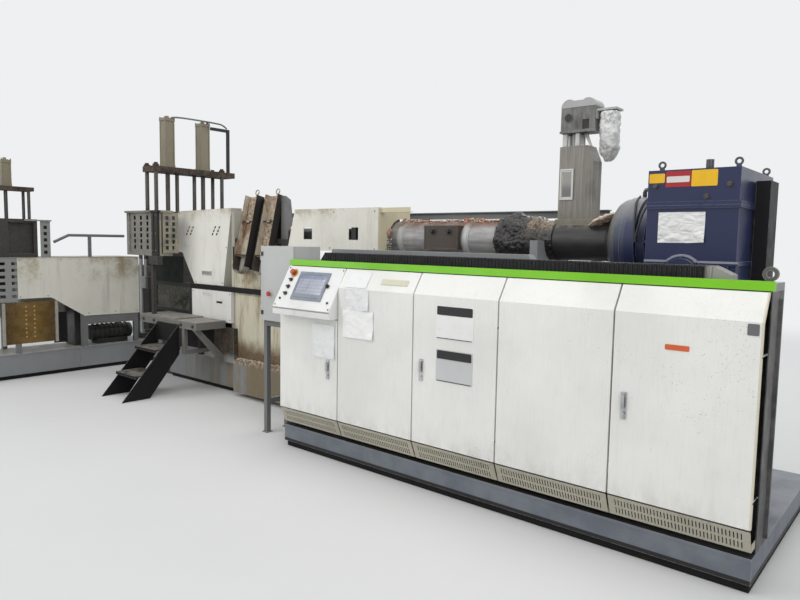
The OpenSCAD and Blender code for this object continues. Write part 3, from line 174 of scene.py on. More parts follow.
class Finish:
    """One material's node tree, built up from small steps."""

    def __init__(self, name, roughness=0.5, metallic=0.0):
        self.material = bpy.data.materials.new(name)
        self.material.use_nodes = True
        self.tree = self.material.node_tree
        self.tree.nodes.clear()
        self.shader = self.node("BsdfPrincipled", {"Roughness": roughness, "Metallic": metallic})
        self.output = self.node("OutputMaterial", {"Surface": self.shader.outputs["BSDF"]})
        self.place = self.node("TexCoord").outputs["Object"]
        self.normal = self.node("NewGeometry").outputs["Normal"]

    def node(self, kind, feeds=None, **settings):
        return new_node(self.tree, kind, feeds, **settings)

    def dull(self):
        """Dark paint that mirrors little of the room."""
        self.shader.inputs["Specular IOR Level"].default_value = 0.2

    def stretched(self, stretch):
        return self.node("Mapping", {"Vector": self.place, "Scale": stretch}).outputs["Vector"]

    def noise(self, scale, detail=4, rough=0.6, stretch=(1, 1, 1)):
        feeds = {"Vector": self.stretched(stretch), "Scale": scale, "Detail": detail, "Roughness": rough}
        return self.node("TexNoise", feeds).outputs["Fac"]

    def cells(self, scale, feature="F1", stretch=(1, 1, 1)):
        feeds = {"Vector": self.stretched(stretch), "Scale": scale}
        return self.node("TexVoronoi", feeds, feature=feature).outputs["Distance"]

    def calc(self, kind, a, b=0.0, clamp=False):
        """One step of arithmetic; clamp keeps it between 0 and 1."""
        return self.node("Math", {0: a, 1: b}, operation=kind, use_clamp=clamp).outputs[0]

    def plus(self, a, b, clamp=False):
        return self.calc("ADD", a, b, clamp)

    def times(self, a, b, clamp=False):
        return self.calc("MULTIPLY", a, b, clamp)

    def reach(self, a, b):
        """Distance from the origin of a and b."""
        return self.calc("SQRT", self.plus(self.times(a, a), self.times(b, b)))

    def span(self, value, low, high, top=1.0):
        """0 below low, top above high, smooth between; low may be the larger."""
        start, end = (0.0, top) if low < high else (top, 0.0)
        feeds = {"Value": value, "From Min": min(low, high), "From Max": max(low, high),
                 "To Min": start, "To Max": end}
        return self.node("MapRange", feeds, interpolation_type="SMOOTHSTEP").outputs["Result"]

    def axis(self, letter):
        return self.node("SeparateXYZ", {0: self.place}).outputs[letter]

    def ramp(self, letter, low, high, top=1.0):
        """A span of the place along one axis."""
        return self.span(self.axis(letter), low, high, top)

    def before(self, plane, soft=0.0005):
        """1 in front of an upright plane along the machine."""
        return self.ramp("Y", plane + soft, plane - soft)

    def ragged(self, amount, *grain):
        """Height above the floor, made uneven by noise."""
        return self.plus(self.axis("Z"), self.times(self.noise(*grain), amount))

    def facing(self, letter):
        return self.node("SeparateXYZ", {0: self.normal}).outputs[letter]

    def facing_up(self):
        return self.span(self.facing("Z"), 0.55, 0.9)

    def sideways(self):
        """1 on faces that look along the machine."""
        return self.span(self.calc("ABSOLUTE", self.facing("X")), 0.7, 0.85)

    def edges(self, radius):
        """1 on the sharp edges of the sheet or casting, 0 on its flat faces."""
        rounded = self.node("Bevel", {"Radius": radius}, samples=4).outputs["Normal"]
        turned = self.node("VectorMath", {0: rounded, 1: self.normal}, operation="DOT_PRODUCT")
        return self.span(turned.outputs["Value"], 0.99, 0.90)

    def inside(self, letter, low, high, soft=0.002):
        return self.times(self.ramp(letter, low - soft, low), self.ramp(letter, high + soft, high))

    def both(self, mask, *others):
        """1 where every mask is."""
        for other in others:
            mask = self.times(mask, other, clamp=True)
        return mask

    def either(self, a, b):
        return self.plus(a, b, clamp=True)

    def box(self, x, z):
        """1 inside a rectangle seen from the front."""
        return self.both(self.inside("X", *x), self.inside("Z", *z))

    def mix(self, factor, a, b):
        return self.node("Mix", {0: factor, 6: a, 7: b}, data_type="RGBA").outputs[2]

    def colour(self, value):
        feed(self.tree, self.shader.inputs["Base Color"], value)

    def over(self, mask, value):
        """Lays another colour over the present one where the mask is 1."""
        present = self.shader.inputs["Base Color"].links[0].from_socket
        self.colour(self.mix(mask, present, value))

    def worn(self, value, radius=0.004, share=0.8):
        """Edges in another colour where the paint has worn off: bare or pale on dark paint; on pale sheets
        dark edge dirt that also stands in as painted shade at the seams.
        """
        self.over(self.both(self.edges(radius), self.span(self.noise(22, 6, 0.7), 0.30, 0.55, share)), value)

    def dust(self, grain, low, high, share):
        """Plastic dust on everything that faces up."""
        self.over(self.both(self.facing_up(), self.span(self.noise(*grain), low, high, share)), tint("dust"))

    def roughness(self, value):
        feed(self.tree, self.shader.inputs["Roughness"], value)

    def bump(self, height, distance=0.001, strength=1.0):
        node = self.node("Bump", {"Strength": strength, "Distance": distance, "Height": height})
        feed(self.tree, self.shader.inputs["Normal"], node.outputs["Normal"])


def background_rays(tree):
    """1 for rays that meet the pale background: seen straight on, in gloss or through glass."""
    rays = new_node(tree, "LightPath")
    seen = rays.outputs["Is Camera Ray"]
    for kind in ("Is Glossy Ray", "Is Transmission Ray"):
        seen = new_node(tree, "Math", {0: seen, 1: rays.outputs[kind]}, operation="MAXIMUM").outputs[0]
    return seen


def shade(value, factor):
    return tuple(min(1.0, c * factor) for c in value)


def enamel(name, value, roughness=0.4, dirt=0.35, streaks=0.3, specks=0.3, dust=0.5, foot=None,
           grime=(0.16, 0.125, 0.085)):
    """Painted sheet with faint streaks, specks, dust on its ledges and a dirty foot."""
    f = Finish(name, roughness)
    f.colour(f.mix(f.span(f.noise(1.6, 3), 0.35, 0.7), value, shade(value, 0.9)))
    f.over(f.span(f.noise(9, 5, 0.65, (1, 1, 0.06)), 0.56, 0.78, streaks), shade(value, 0.5))
    blotch = f.noise(3.2, 8, 0.7)
    f.over(f.span(blotch, 0.56, 0.8, dirt), grime)
    f.over(f.span(f.noise(95, 2), 0.70, 0.76, specks), shade(grime, 0.6))
    if foot is not None:
        low = f.both(f.ramp("Z", foot[1], foot[0]), f.span(f.noise(12, 6, 0.6, (1, 1, 0.4)), 0.35, 0.75))
        f.over(f.times(low, 0.38), grime)
    f.dust((14, 6), 0.25, 0.62, dust)
    f.roughness(f.plus(f.span(blotch, 0.4, 0.8, 0.3), roughness, clamp=True))
    f.bump(f.plus(f.noise(0.9, 2), f.times(f.noise(420, 2), 0.02)), 0.01, 0.35)
    return f


def stained(name, value, runs, patch, level=0.5, band=None, roof=None):
    """White sheet under brown runs and rusty patches.

    band is the low and high edge of a rusty foot, roof the height above which the sheet is dirty.
    """
    f = enamel(name, value, 0.5, dirt=0.5, streaks=0.5, specks=0.5, dust=0.8, grime=(0.24, 0.185, 0.10))
    down = f.noise(7, 7, 0.7, (1, 1, 0.13))
    rusty = f.mix(f.span(f.noise(40, 5), 0.3, 0.7), shade(tint("rust"), 0.6), (0.17, 0.095, 0.036))
    f.over(f.span(down, level + 0.02, level + 0.2, runs), (0.26, 0.18, 0.095))
    worn = f.noise(4.6, 9, 0.72, (1, 1, 0.5))
    f.over(f.span(worn, level + 0.08, level + 0.17, patch), rusty)
    if band is not None:
        low, high = band
        f.over(f.span(f.ragged(-0.22, 9, 6, 0.7), high - 0.06, low - 0.08, 0.92), rusty)
    if roof is not None:
        dirty = f.span(f.ragged(0.2, 8, 6, 0.7, (1, 1, 0.4)), roof, roof + 0.2)
        patchy = f.both(f.span(f.noise(1.9, 6, 0.7), 0.46, 0.66, 0.8), dirty)
        f.over(patchy, (0.27, 0.19, 0.085))
    # dark brown edges: edge dirt, also painted shade along the seams
    f.worn((0.20, 0.165, 0.115), 0.005, 0.75)
    return f


def bare_metal(name, value, roughness=0.35, brush=(1, 1, 1), grime=0.4, metallic=0.85):
    f = Finish(name, roughness, metallic)
    grain = f.noise(60, 5, 0.6, brush)
    f.colour(f.mix(f.span(grain, 0.3, 0.75), value, shade(value, 0.62)))
    dark = f.noise(5, 7, 0.7)
    f.over(f.span(dark, 0.48, 0.75, grime), (0.045, 0.036, 0.026))
    f.dust((16, 5), 0.3, 0.6, 0.55)
    f.roughness(f.plus(f.span(dark, 0.4, 0.8, 0.35), roughness, clamp=True))
    f.bump(grain, 0.0008, 0.5)
    return f


def rusty(name, value, light):
    f = Finish(name, 0.85, 0.15)
    coarse, fine = f.noise(11, 9, 0.72), f.noise(70, 6, 0.7)
    f.colour(f.mix(f.span(coarse, 0.38, 0.64), shade(value, 0.42), light))
    f.over(f.span(fine, 0.42, 0.7, 0.6), value)
    f.dust((16,), 0.35, 0.6, 0.6)
    f.roughness(f.plus(f.span(fine, 0.3, 0.7, 0.25), 0.65))
    f.bump(f.plus(coarse, f.times(fine, 0.5)), 0.004, 0.7)
    return f


def burnt(name, value=(0.014, 0.013, 0.012)):
    """Iron under burnt plastic: black, lumpy, glossy in places, a little brown ash on its top."""
    f = Finish(name, 0.5, 0.0)
    lumps = f.noise(22, 8, 0.65)
    f.colour(f.mix(f.span(lumps, 0.52, 0.72, 0.6), value, (0.055, 0.045, 0.036)))
    ash = f.both(f.span(f.facing("Z"), 0.35, 0.9), f.span(f.noise(55, 5), 0.5, 0.68, 0.75))
    f.over(ash, (0.20, 0.15, 0.10))
    f.roughness(f.span(lumps, 0.3, 0.7, 0.55))
    f.bump(lumps, 0.012, 0.9)
    return f


def rubber(name, value=(0.018, 0.018, 0.02)):
    f = Finish(name, 0.55)
    f.colour(f.mix(f.span(f.noise(24, 6), 0.5, 0.75, 0.5), value, shade(value, 2.6)))
    f.roughness(f.plus(f.span(f.noise(9, 5), 0.4, 0.7, 0.25), 0.45))
    f.bump(f.noise(260, 2), 0.0006, 0.5)
    return f


def paper(name, value, fold):
    """Sheet of paper or film: faint fibres, small specks, soft folds."""
    f = Finish(name, 0.6)
    f.colour(f.mix(f.span(f.noise(20, 7, 0.7), 0.5, 0.75, 0.35), value, shade(value, 0.62)))
    f.over(f.span(f.noise(240, 2), 0.62, 0.75, 0.3), shade(value, 0.5))
    f.roughness(f.span(f.noise(30, 3), 0.0, 1.0, 0.9))
    crease = f.cells(15, "DISTANCE_TO_EDGE", (1, 1, 1.7))
    f.bump(f.plus(crease, f.noise(9, 3, 0.4)), 0.012, fold)
    return f


def cabinet_white():
    """Panel enamel: clean above, small dark specks, scuffed along its foot."""
    f = enamel("cabinet_enamel", tint("white"), 0.36, dirt=0.08, streaks=0.10, specks=0.2,
               dust=0.25, foot=(0.24, 0.50))
    f.over(f.span(f.noise(80, 4, 0.7, (1, 1, 0.09)), 0.46, 0.74, 0.22), shade(tint("white"), 0.74))
    patches = f.span(f.noise(2.3, 4), 0.50, 0.66)
    f.over(f.both(patches, f.span(f.noise(130, 2), 0.66, 0.71, 0.6)), (0.15, 0.135, 0.11))
    # darker edges: edge dirt, also painted shade along the seams
    f.worn((0.36, 0.34, 0.29), 0.003, 0.55)
    return f


def door_white():
    """Last door: its right fold is painted beige."""
    f = cabinet_white()
    f.material.name = "cabinet_enamel_beige_fold"
    f.over(f.inside("X", 1.684, 1.8), (0.62, 0.565, 0.44))
    return f


def end_sheet():
    """Cabinet ends: dark grey outside the right end, light elsewhere."""
    f = enamel("cabinet_end_grey", (0.42, 0.42, 0.40), 0.5, dirt=0.4, streaks=0.4, dust=0.6, foot=(0.2, 0.5))
    dark = f.mix(f.span(f.noise(8, 6), 0.4, 0.7), (0.05, 0.05, 0.05), (0.12, 0.115, 0.11))
    f.over(f.ramp("X", 1.5, 1.6), dark)
    return f


def base_grey():
    """Welded base: scuffed grey, pale edges, rust in the chips, yellow-brown runs below the head, a post
    darkened by brown dirt with painted shade, painted shadow on the ledge under the cabinet.
    """
    f = enamel("base_grey", tint("grey"), 0.5, dirt=0.45, streaks=0.35, specks=0.6, dust=0.75)
    f.over(f.span(f.noise(16, 9, 0.75, (0.4, 0.4, 1.6)), 0.62, 0.7, 0.6), (0.30, 0.29, 0.27))
    runs = f.both(f.inside("X", -4.3, -2.45, 0.3), f.span(f.noise(6, 6, 0.7, (1, 1, 0.15)), 0.42, 0.62, 0.75))
    f.over(runs, (0.20, 0.15, 0.08))
    block = f.both(f.inside("X", -3.42, -2.36), f.before(-0.300, 0.001))
    olive = f.span(f.noise(3.4, 7, 0.7, (1, 1, 0.35)), 0.36, 0.56, 0.85)
    f.over(f.both(block, f.inside("X", -3.42, -2.62, 0.25), olive), (0.17, 0.13, 0.07))
    lip = f.span(f.ragged(0.08, 10, 6), 0.37, 0.42)
    debris = f.mix(f.span(f.noise(30, 5), 0.38, 0.62), (0.10, 0.055, 0.03), (0.42, 0.33, 0.22))
    f.over(f.both(block, lip), debris)
    # the post above the ledge is darkened: brown dirt together with painted shade
    post = f.both(f.inside("X", -3.85, -3.43), f.ramp("Z", 0.37, 0.44))
    f.over(post, f.mix(f.span(f.noise(7, 7, 0.7), 0.4, 0.65), (0.035, 0.03, 0.022), (0.12, 0.09, 0.055)))
    f.over(f.both(f.ramp("X", 1.60, 1.62), f.ramp("Z", 1.487, 1.490)), (0.085, 0.08, 0.072))
    footing = f.both(f.ramp("X", -1.71, -1.69), f.ramp("Z", 0.19, 0.182))
    f.over(footing, f.mix(f.span(f.noise(5, 6), 0.35, 0.65), (0.115, 0.13, 0.155), (0.155, 0.17, 0.195)))
    # painted shadow: the top of the base's ledge under the cabinet's overhang is painted near-black
    ledge_painted_shadow = f.both(f.facing_up(), f.ramp("Y", -1.02, -1.04))
    f.over(f.both(footing, ledge_painted_shadow), (0.018, 0.017, 0.016))
    f.over(f.both(footing, f.ramp("Z", 0.072, 0.068)), (0.006, 0.006, 0.006))
    f.over(f.span(f.noise(48, 5, 0.7), 0.70, 0.74, 0.8), tint("rust"))
    f.worn((0.36, 0.355, 0.34), 0.005, 0.7)
    return f


def tray_black():
    """Cable cover: black ribs with pale worn edges, grey over its right ramp."""
    f = enamel("tray_black", (0.008, 0.008, 0.009), 0.45, dirt=0.1, streaks=0.1, dust=0.3)
    f.dull()
    f.over(f.ramp("X", 1.38, 1.40), (0.30, 0.29, 0.27))
    f.worn((0.15, 0.15, 0.15), 0.003, 0.7)
    return f


def cover_bands():
    """Barrel cover: dull grey sheet, paler rings, reddish plastic dust sliding down from the top."""
    f = bare_metal("barrel_cover_steel", (0.37, 0.36, 0.355), 0.5, (0.05, 1, 1), grime=0.35, metallic=0.25)
    f.over(f.either(f.inside("X", -1.375, -1.315), f.inside("X", -0.70, -0.64)), (0.47, 0.465, 0.46))
    sliding = f.span(f.noise(7, 6, 0.7, (1, 0.3, 0.3)), 0.42, 0.62, 0.85)
    f.over(f.both(f.span(f.facing("Z"), 0.45, 0.85), sliding), (0.16, 0.10, 0.07))
    pellets = f.mix(f.span(f.cells(120), 0.35, 0.12), (0.12, 0.065, 0.045), (0.42, 0.20, 0.14))
    f.over(f.both(f.facing_up(), f.span(f.noise(6, 5), 0.36, 0.56)), pellets)
    return f


def terminal_brown():
    """Terminal window: flat brown sheet with a pale rubbed rim and dark connectors."""
    f = enamel("terminal_brown", (0.055, 0.042, 0.03), 0.55, dirt=0.3, streaks=0.2, specks=0.5, dust=0.9)
    f.over(f.before(-0.190, 0.001), (0.022, 0.022, 0.023))
    f.worn((0.21, 0.19, 0.16), 0.004, 0.8)
    return f


def tower_sheet():
    """Feed tower: warm brushed sheet, brown towards its foot, a pale frame round the sight window."""
    f = bare_metal("tower_sheet", (0.225, 0.211, 0.186), 0.42, (1, 1, 0.04), grime=0.25, metallic=0.35)
    f.over(f.span(f.ragged(0.25, 7, 6, 0.7), 2.05, 1.88, 0.75), (0.15, 0.135, 0.095))
    front = f.before(TOWER_Y)
    f.over(f.both(f.box((0.098, 0.204), (1.962, 2.184)), front), (0.50, 0.49, 0.46))
    pane = f.both(f.box((0.118, 0.184), (1.985, 2.160)), f.before(-0.069, 0.001))
    f.over(pane, f.mix(f.ramp("Z", 2.02, 2.10), (0.14, 0.14, 0.14), (0.27, 0.265, 0.25)))
    f.worn((0.33, 0.32, 0.29), 0.004, 0.6)
    return f


def tower_top():
    """Tower head: grey sheet, dark hatch and disc, pale rollers below."""
    f = bare_metal("tower_top", (0.17, 0.168, 0.163), 0.45, (1, 1, 0.2), grime=0.5, metallic=0.4)
    hatch = f.both(f.box((0.252, 0.300), (2.456, 2.520)), f.ramp("Y", -0.02, -0.05))
    disc = f.both(f.box((0.110, 0.182), (2.500, 2.575)), f.before(TOWER_Y))
    f.over(f.either(hatch, disc), (0.03, 0.03, 0.03))
    f.over(f.inside("Z", 2.345, 2.428), (0.46, 0.455, 0.44))
    f.worn((0.40, 0.395, 0.37), 0.004, 0.7)
    return f


def housing_bands():
    """Bearing housing: grey-green first ring, blue-grey ring, navy body, all dusty above."""
    f = enamel("housing_bands", tint("blue_grey"), 0.45, dirt=0.35, streaks=0.25, specks=0.5, dust=0.4)
    f.over(f.ramp("X", 0.602, 0.600), (0.115, 0.118, 0.098))
    f.over(f.ramp("X", 0.672, 0.676), tint("navy"))
    f.over(f.ramp("Z", 1.80, 1.50, 0.75), shade(tint("navy"), 0.8))
    dust = f.both(f.span(f.ragged(0.1, 12, 6), 1.78, 2.0, 0.8), f.span(f.facing("Z"), -0.1, 0.6))
    f.over(dust, (0.25, 0.25, 0.245))
    f.worn((0.30, 0.31, 0.33), 0.005, 0.8)
    return f


def gearbox_enamel():
    """Gearbox: navy enamel, thin scratches, a pale line along flange and arch, dark fittings on top."""
    f = enamel("gearbox_navy", tint("navy"), 0.3, dirt=0.12, streaks=0.2, specks=0.3, dust=0.75)
    scratch = f.noise(30, 3, 0.5, (0.08, 1, 1))
    few = f.span(f.noise(5, 3), 0.52, 0.62)
    f.over(f.both(f.span(scratch, 0.68, 0.72, 0.6), few), (0.20, 0.21, 0.26))
    reach = f.reach(f.calc("SUBTRACT", f.axis("X"), ARCH[0]), f.calc("SUBTRACT", f.axis("Z"), ARCH[1]))
    arch = f.both(f.span(reach, 0.108, 0.112), f.span(reach, 0.127, 0.123), f.ramp("Z", 1.550, 1.556))
    flange = f.both(f.inside("Z", 1.551, 1.563), f.span(reach, 0.118, 0.122))
    front = f.before(GEARBOX_Y - 0.007, 0.002)
    line = f.both(f.either(arch, flange), front, f.span(f.noise(25, 5), 0.2, 0.5, 0.9))
    f.over(line, (0.30, 0.31, 0.36))
    f.over(f.ramp("Z", 2.1165, 2.1175), (0.055, 0.056, 0.06))
    f.worn((0.19, 0.20, 0.26), 0.005, 0.6)
    return f


def trough_plates():
    """Troughs: beige plate breaking into rust, grey below the ledge, black walls, painted shade in the chutes
    and in the pockets at the bar.
    """
    f = Finish("trough_rust", 0.8, 0.1)
    coarse = f.noise(9, 9, 0.72, (1, 1, 0.5))
    fine = f.noise(60, 6, 0.7)
    f.colour(f.mix(f.span(coarse, 0.47, 0.64), (0.46, 0.40, 0.31), (0.24, 0.14, 0.075)))
    f.over(f.span(fine, 0.54, 0.74, 0.8), (0.09, 0.055, 0.035))
    grey = f.mix(f.span(coarse, 0.42, 0.66), (0.36, 0.34, 0.30), (0.11, 0.085, 0.06))
    f.over(f.ramp("Z", 1.487, 1.477), grey)
    f.over(f.inside("Z", 1.474, 1.484), (0.03, 0.024, 0.018))
    below = f.ramp("Z", 1.474, 1.468)
    for middle in TROUGHS:
        # painted shade on each chute's left inner wall, below the ledge
        f.over(f.both(below, f.inside("X", middle - 0.12, middle - 0.072, 0.01)), (0.05, 0.038, 0.028))
        # painted shade in the pockets of the bar: the bar and the holes behind it are painted dark
        for pocket in (middle - 0.052, middle + 0.052):
            width = f.inside("X", pocket - 0.024, pocket + 0.024, 0.012)
            f.over(f.both(width, f.inside("Z", 1.806, 1.834, 0.01)), (0.022, 0.018, 0.014))
        for wall in (middle - 0.098, middle + 0.098):
            f.over(f.inside("X", wall - 0.003, wall + 0.003, 0.001), (0.02, 0.017, 0.014))
    f.roughness(f.plus(f.span(fine, 0.3, 0.7, 0.25), 0.62))
    f.bump(f.plus(coarse, f.times(fine, 0.5)), 0.004, 0.7)
    # dark edges: grime, and painted shade in the gaps along the troughs' walls
    f.worn((0.03, 0.022, 0.016), 0.006, 0.9)
    return f


def scale_brown():
    """Baked scale in the troughs: beige crumbs over brown."""
    f = Finish("trough_scale", 0.85)
    grain = f.noise(55, 7, 0.75)
    f.colour(f.mix(f.span(grain, 0.36, 0.62), (0.13, 0.075, 0.04), (0.50, 0.42, 0.31)))
    f.over(f.span(f.noise(14, 5), 0.55, 0.7, 0.6), (0.06, 0.04, 0.028))
    f.bump(grain, 0.005, 0.8)
    return f


def guard_white():
    """Slanted guard: cream front, its turned-back side painted greyer as painted shade."""
    f = stained("guard_white", (0.76, 0.745, 0.68), 0.28, 0.06, 0.53, roof=1.90)
    # painted shade: faces that look along the machine are painted greyer than the front
    f.over(f.times(f.sideways(), 0.75), (0.40, 0.385, 0.33))
    f.over(f.both(f.box((-4.090, -3.916), (1.244, 1.280)), f.before(-0.3005)), (0.27, 0.27, 0.26))
    return f


def hood_white():
    """Hood: cream sheet with yellow-brown dirt, deeper yellow on its right-hand end."""
    f = stained("hood_white", (0.74, 0.72, 0.645), 0.22, 0.08, 0.52, roof=1.86)
    f.over(f.both(f.ramp("X", -1.470, -1.457), f.span(f.noise(4, 5), 0.2, 0.6, 0.85)), (0.60, 0.53, 0.34))
    return f


def lower_white():
    """Lower white panel and, left of it, a pane of dirty glass."""
    f = stained("lower_white", (0.76, 0.75, 0.71), 0.3, 0.08, 0.54)
    smear = f.noise(7, 8, 0.7)
    pane = f.both(f.box((-5.08, -4.35), (0.80, 1.10)), f.ramp("Y", -0.2995, -0.2985))
    glass = f.mix(f.span(smear, 0.4, 0.65), (0.018, 0.020, 0.018), (0.070, 0.065, 0.050))
    rail = f.both(f.inside("Z", 1.0845, 1.108), f.before(-0.3010))
    f.over(pane, glass)
    f.over(rail, (0.028, 0.027, 0.026))
    f.roughness(f.mix(pane, f.plus(f.span(smear, 0.4, 0.8, 0.3), 0.45), f.span(smear, 0.3, 0.75, 0.6)))
    return f


def tube_dark():
    """Head frame: dark tubes with worn edges, a glossy black panel, the notched plate grey, the post painted
    in the guard's shaded beige, a painted shadow at its right.
    """
    f = enamel("tube_dark", (0.030, 0.030, 0.031), 0.5, 0.3, 0.35, 0.6, 0.6)
    f.dull()
    gloss = f.mix(f.span(f.noise(5, 5), 0.4, 0.7), (0.004, 0.007, 0.007), (0.013, 0.017, 0.016))
    f.over(f.box((-5.12, -4.46), (1.125, 1.44)), gloss)
    # painted shade: the post's front takes the darker beige of the guard's turned side, darker still below
    post = f.both(f.inside("X", -3.552, -3.494), f.ramp("Z", 0.60, 0.62), f.inside("Y", -0.302, -0.248))
    f.over(post, f.mix(f.ramp("Z", 1.38, 1.44), (0.50, 0.47, 0.38), (0.36, 0.345, 0.29)))
    shadow = f.both(f.inside("X", -3.53, -3.498), f.inside("Z", 1.335, 1.56), f.inside("Y", -0.302, -0.248))
    f.over(shadow, (0.02, 0.02, 0.019))
    plate = f.both(f.box((-2.81, -2.61), (1.55, 2.09)), f.inside("Y", -0.252, -0.240))
    f.over(plate, f.mix(f.span(f.noise(6, 7, 0.7), 0.4, 0.7), (0.17, 0.17, 0.165), (0.085, 0.08, 0.07)))
    f.worn((0.17, 0.165, 0.155), 0.005, 0.7)
    return f


def box_enamel():
    """Electrical box: light grey, with a red push button on its door."""
    f = enamel("box_grey", (0.48, 0.49, 0.475), 0.42, 0.2, 0.2, 0.4, 0.6)
    f.over(f.both(f.box((-2.055, -1.955), (1.166, 1.226)), f.before(-1.032, 0.002)), (0.46, 0.014, 0.012))
    f.worn((0.30, 0.295, 0.28), 0.003, 0.5)
    return f


def stair_black():
    f = enamel("stair_black", (0.008, 0.008, 0.009), 0.5, dirt=0.15, streaks=0.2, specks=0.4, dust=0.5)
    f.dull()
    f.worn((0.19, 0.185, 0.175), 0.005, 0.85)
    return f


def plinth_black():
    f = enamel("plinth_black", (0.009, 0.009, 0.009), 0.7, 0.3, 0.3, 0.5, 0.5)
    f.dull()
    return f


def console_white():
    """Console: white enamel, with a painted shadow line in the recess under its face."""
    f = enamel("console_white", (0.74, 0.74, 0.72), 0.34, 0.12, 0.1, 0.25, 0.3)
    # painted shadow: a grey-olive line where the sloped face overhangs the recess
    f.over(f.both(f.inside("Z", 1.1225, 1.1325, 0.001), f.ramp("Y", -1.2570, -1.2575)), (0.27, 0.26, 0.215))
    return f


def punched_sheet():
    """Perforated guards: dull steel, lighter on the arm, beige dust on the side that turns to the machine."""
    f = bare_metal("punched_steel", (0.25, 0.24, 0.215), 0.5, (1, 1, 0.3), grime=0.6, metallic=0.3)
    f.over(f.ramp("X", -5.75, -5.80, 0.85), (0.27, 0.275, 0.27))
    beige = f.both(f.inside("X", -4.45, -4.38, 0.01), f.span(f.noise(9, 6), 0.35, 0.6, 0.8))
    corner = f.both(f.ramp("X", -4.530, -4.525), f.ramp("Y", -0.630, -0.635))
    f.over(beige, (0.33, 0.30, 0.215))
    f.over(corner, (0.012, 0.011, 0.010))
    f.worn((0.30, 0.29, 0.26), 0.003, 0.7)
    return f


def filter_steel():
    """Filter: dark oily steel, with light grey conduits and their small box."""
    f = bare_metal("filter_steel", (0.075, 0.07, 0.066), 0.38, grime=0.7, metallic=0.6)
    conduit = f.both(f.inside("X", -4.87, -4.68), f.ramp("Y", -0.60, -0.61), f.ramp("Z", 1.40, 1.39))
    stain = f.span(f.noise(9, 6, 0.7, (1, 1, 0.3)), 0.45, 0.7, 0.7)
    f.over(conduit, f.mix(stain, (0.27, 0.28, 0.28), (0.12, 0.11, 0.095)))
    f.worn((0.20, 0.19, 0.17), 0.004, 0.6)
    return f


def platform_plate():
    """Grey platform with raised tear marks on its top."""
    f = enamel("platform_grey", (0.15, 0.145, 0.135), 0.55, dirt=0.5, streaks=0.3, specks=0.6, dust=0.6)
    marks = f.span(f.cells(34, stretch=(1, 0.45, 1)), 0.3, 0.22)
    f.bump(f.both(f.facing_up(), marks), 0.003, 0.8)
    f.worn((0.33, 0.32, 0.30), 0.005, 0.8)
    return f


def amber_panel():
    """Amber sheet: brown towards its edges, two columns of pale lit holes, a pale frame."""
    f = Finish("amber_sheet", 0.3)
    along = f.calc("ABSOLUTE", f.plus(f.axis("Y"), 1.45))
    edge = f.span(f.plus(along, f.times(f.noise(4, 4), 0.12)), 0.10, 0.34)
    f.colour(f.mix(edge, (0.175, 0.105, 0.03), (0.085, 0.052, 0.018)))
    f.over(f.span(f.noise(9, 8, 0.7), 0.5, 0.72, 0.7), (0.075, 0.045, 0.02))
    step = f.calc("SUBTRACT", f.calc("FRACT", f.times(f.axis("Z"), 1 / HOLE_STEP)), 0.5)
    up = f.times(step, HOLE_STEP)
    for middle in HOLE_COLUMNS:
        side = f.calc("SUBTRACT", f.axis("Y"), middle)
        spot = f.both(f.span(f.reach(side, up), 0.011, 0.006), f.inside("Z", 0.46, 0.86))
        f.over(f.times(spot, 0.8), (0.62, 0.46, 0.24))
    posts = f.either(f.ramp("Y", -1.722, -1.726), f.ramp("Y", -1.190, -1.186))
    f.over(posts, (0.34, 0.32, 0.27))
    f.roughness(f.span(f.noise(12, 5), 0.2, 0.9, 0.7))
    f.bump(f.noise(3, 3), 0.006, 0.3)
    return f


def console_keys():
    """Push buttons: the stop mushroom is red, the rest black."""
    f = Finish("console_plastics", 0.35)
    red = f.both(f.inside("X", -1.62, -1.55), f.ramp("Z", 1.36, 1.365))
    f.colour(f.mix(red, (0.02, 0.02, 0.021), (0.36, 0.05, 0.015)))
    f.over(f.span(f.noise(60, 4), 0.5, 0.8, 0.4), (0.12, 0.11, 0.10))
    f.bump(f.noise(300, 2), 0.0004, 0.4)
    return f


def bezel():
    f = Finish("screen_bezel", 0.42)
    value = (0.20, 0.225, 0.27)
    f.colour(f.mix(f.span(f.noise(9, 6), 0.4, 0.75, 0.6), value, shade(value, 0.6)))
    f.bump(f.noise(380, 2), 0.0005, 0.5)
    return f


def wrapped_film():
    """Stretch film round the motor: pale, crumpled, glossy on its creases, greyer below."""
    f = Finish("stretch_film", 0.3)
    crease = f.noise(26, 7, 0.65, (1, 1, 0.6))
    f.colour(f.mix(f.span(crease, 0.32, 0.6), (0.42, 0.42, 0.415), (0.80, 0.80, 0.79)))
    f.over(f.span(f.noise(8, 4), 0.6, 0.75, 0.4), (0.26, 0.255, 0.24))
    f.over(f.ramp("Z", 2.50, 2.36, 0.5), (0.33, 0.325, 0.31))
    f.roughness(f.span(crease, 0.2, 0.9, 0.5))
    f.bump(crease, 0.012, 0.9)
    return f


def wool():
    """Torn insulation, pinkish orange at the hood, faded to beige at the throat, fibrous."""
    f = Finish("insulation_wool", 0.95)
    tuft = f.noise(48, 9, 0.75)
    fresh = f.mix(f.span(tuft, 0.35, 0.68), (0.30, 0.15, 0.095), (0.66, 0.46, 0.35))
    faded = f.mix(f.span(tuft, 0.32, 0.60), (0.33, 0.23, 0.165), (0.78, 0.62, 0.51))
    f.colour(f.mix(f.ramp("X", 0.0, 0.1), fresh, faded))
    f.bump(tuft, 0.012, 1.0)
    return f


def foil():
    f = Finish("crumpled_foil", 0.28, 0.9)
    fold = f.cells(26, "F2")
    f.colour(f.mix(f.span(fold, 0.2, 0.8), (0.62, 0.61, 0.58), (0.26, 0.25, 0.23)))
    f.bump(fold, 0.012, 0.9)
    return f


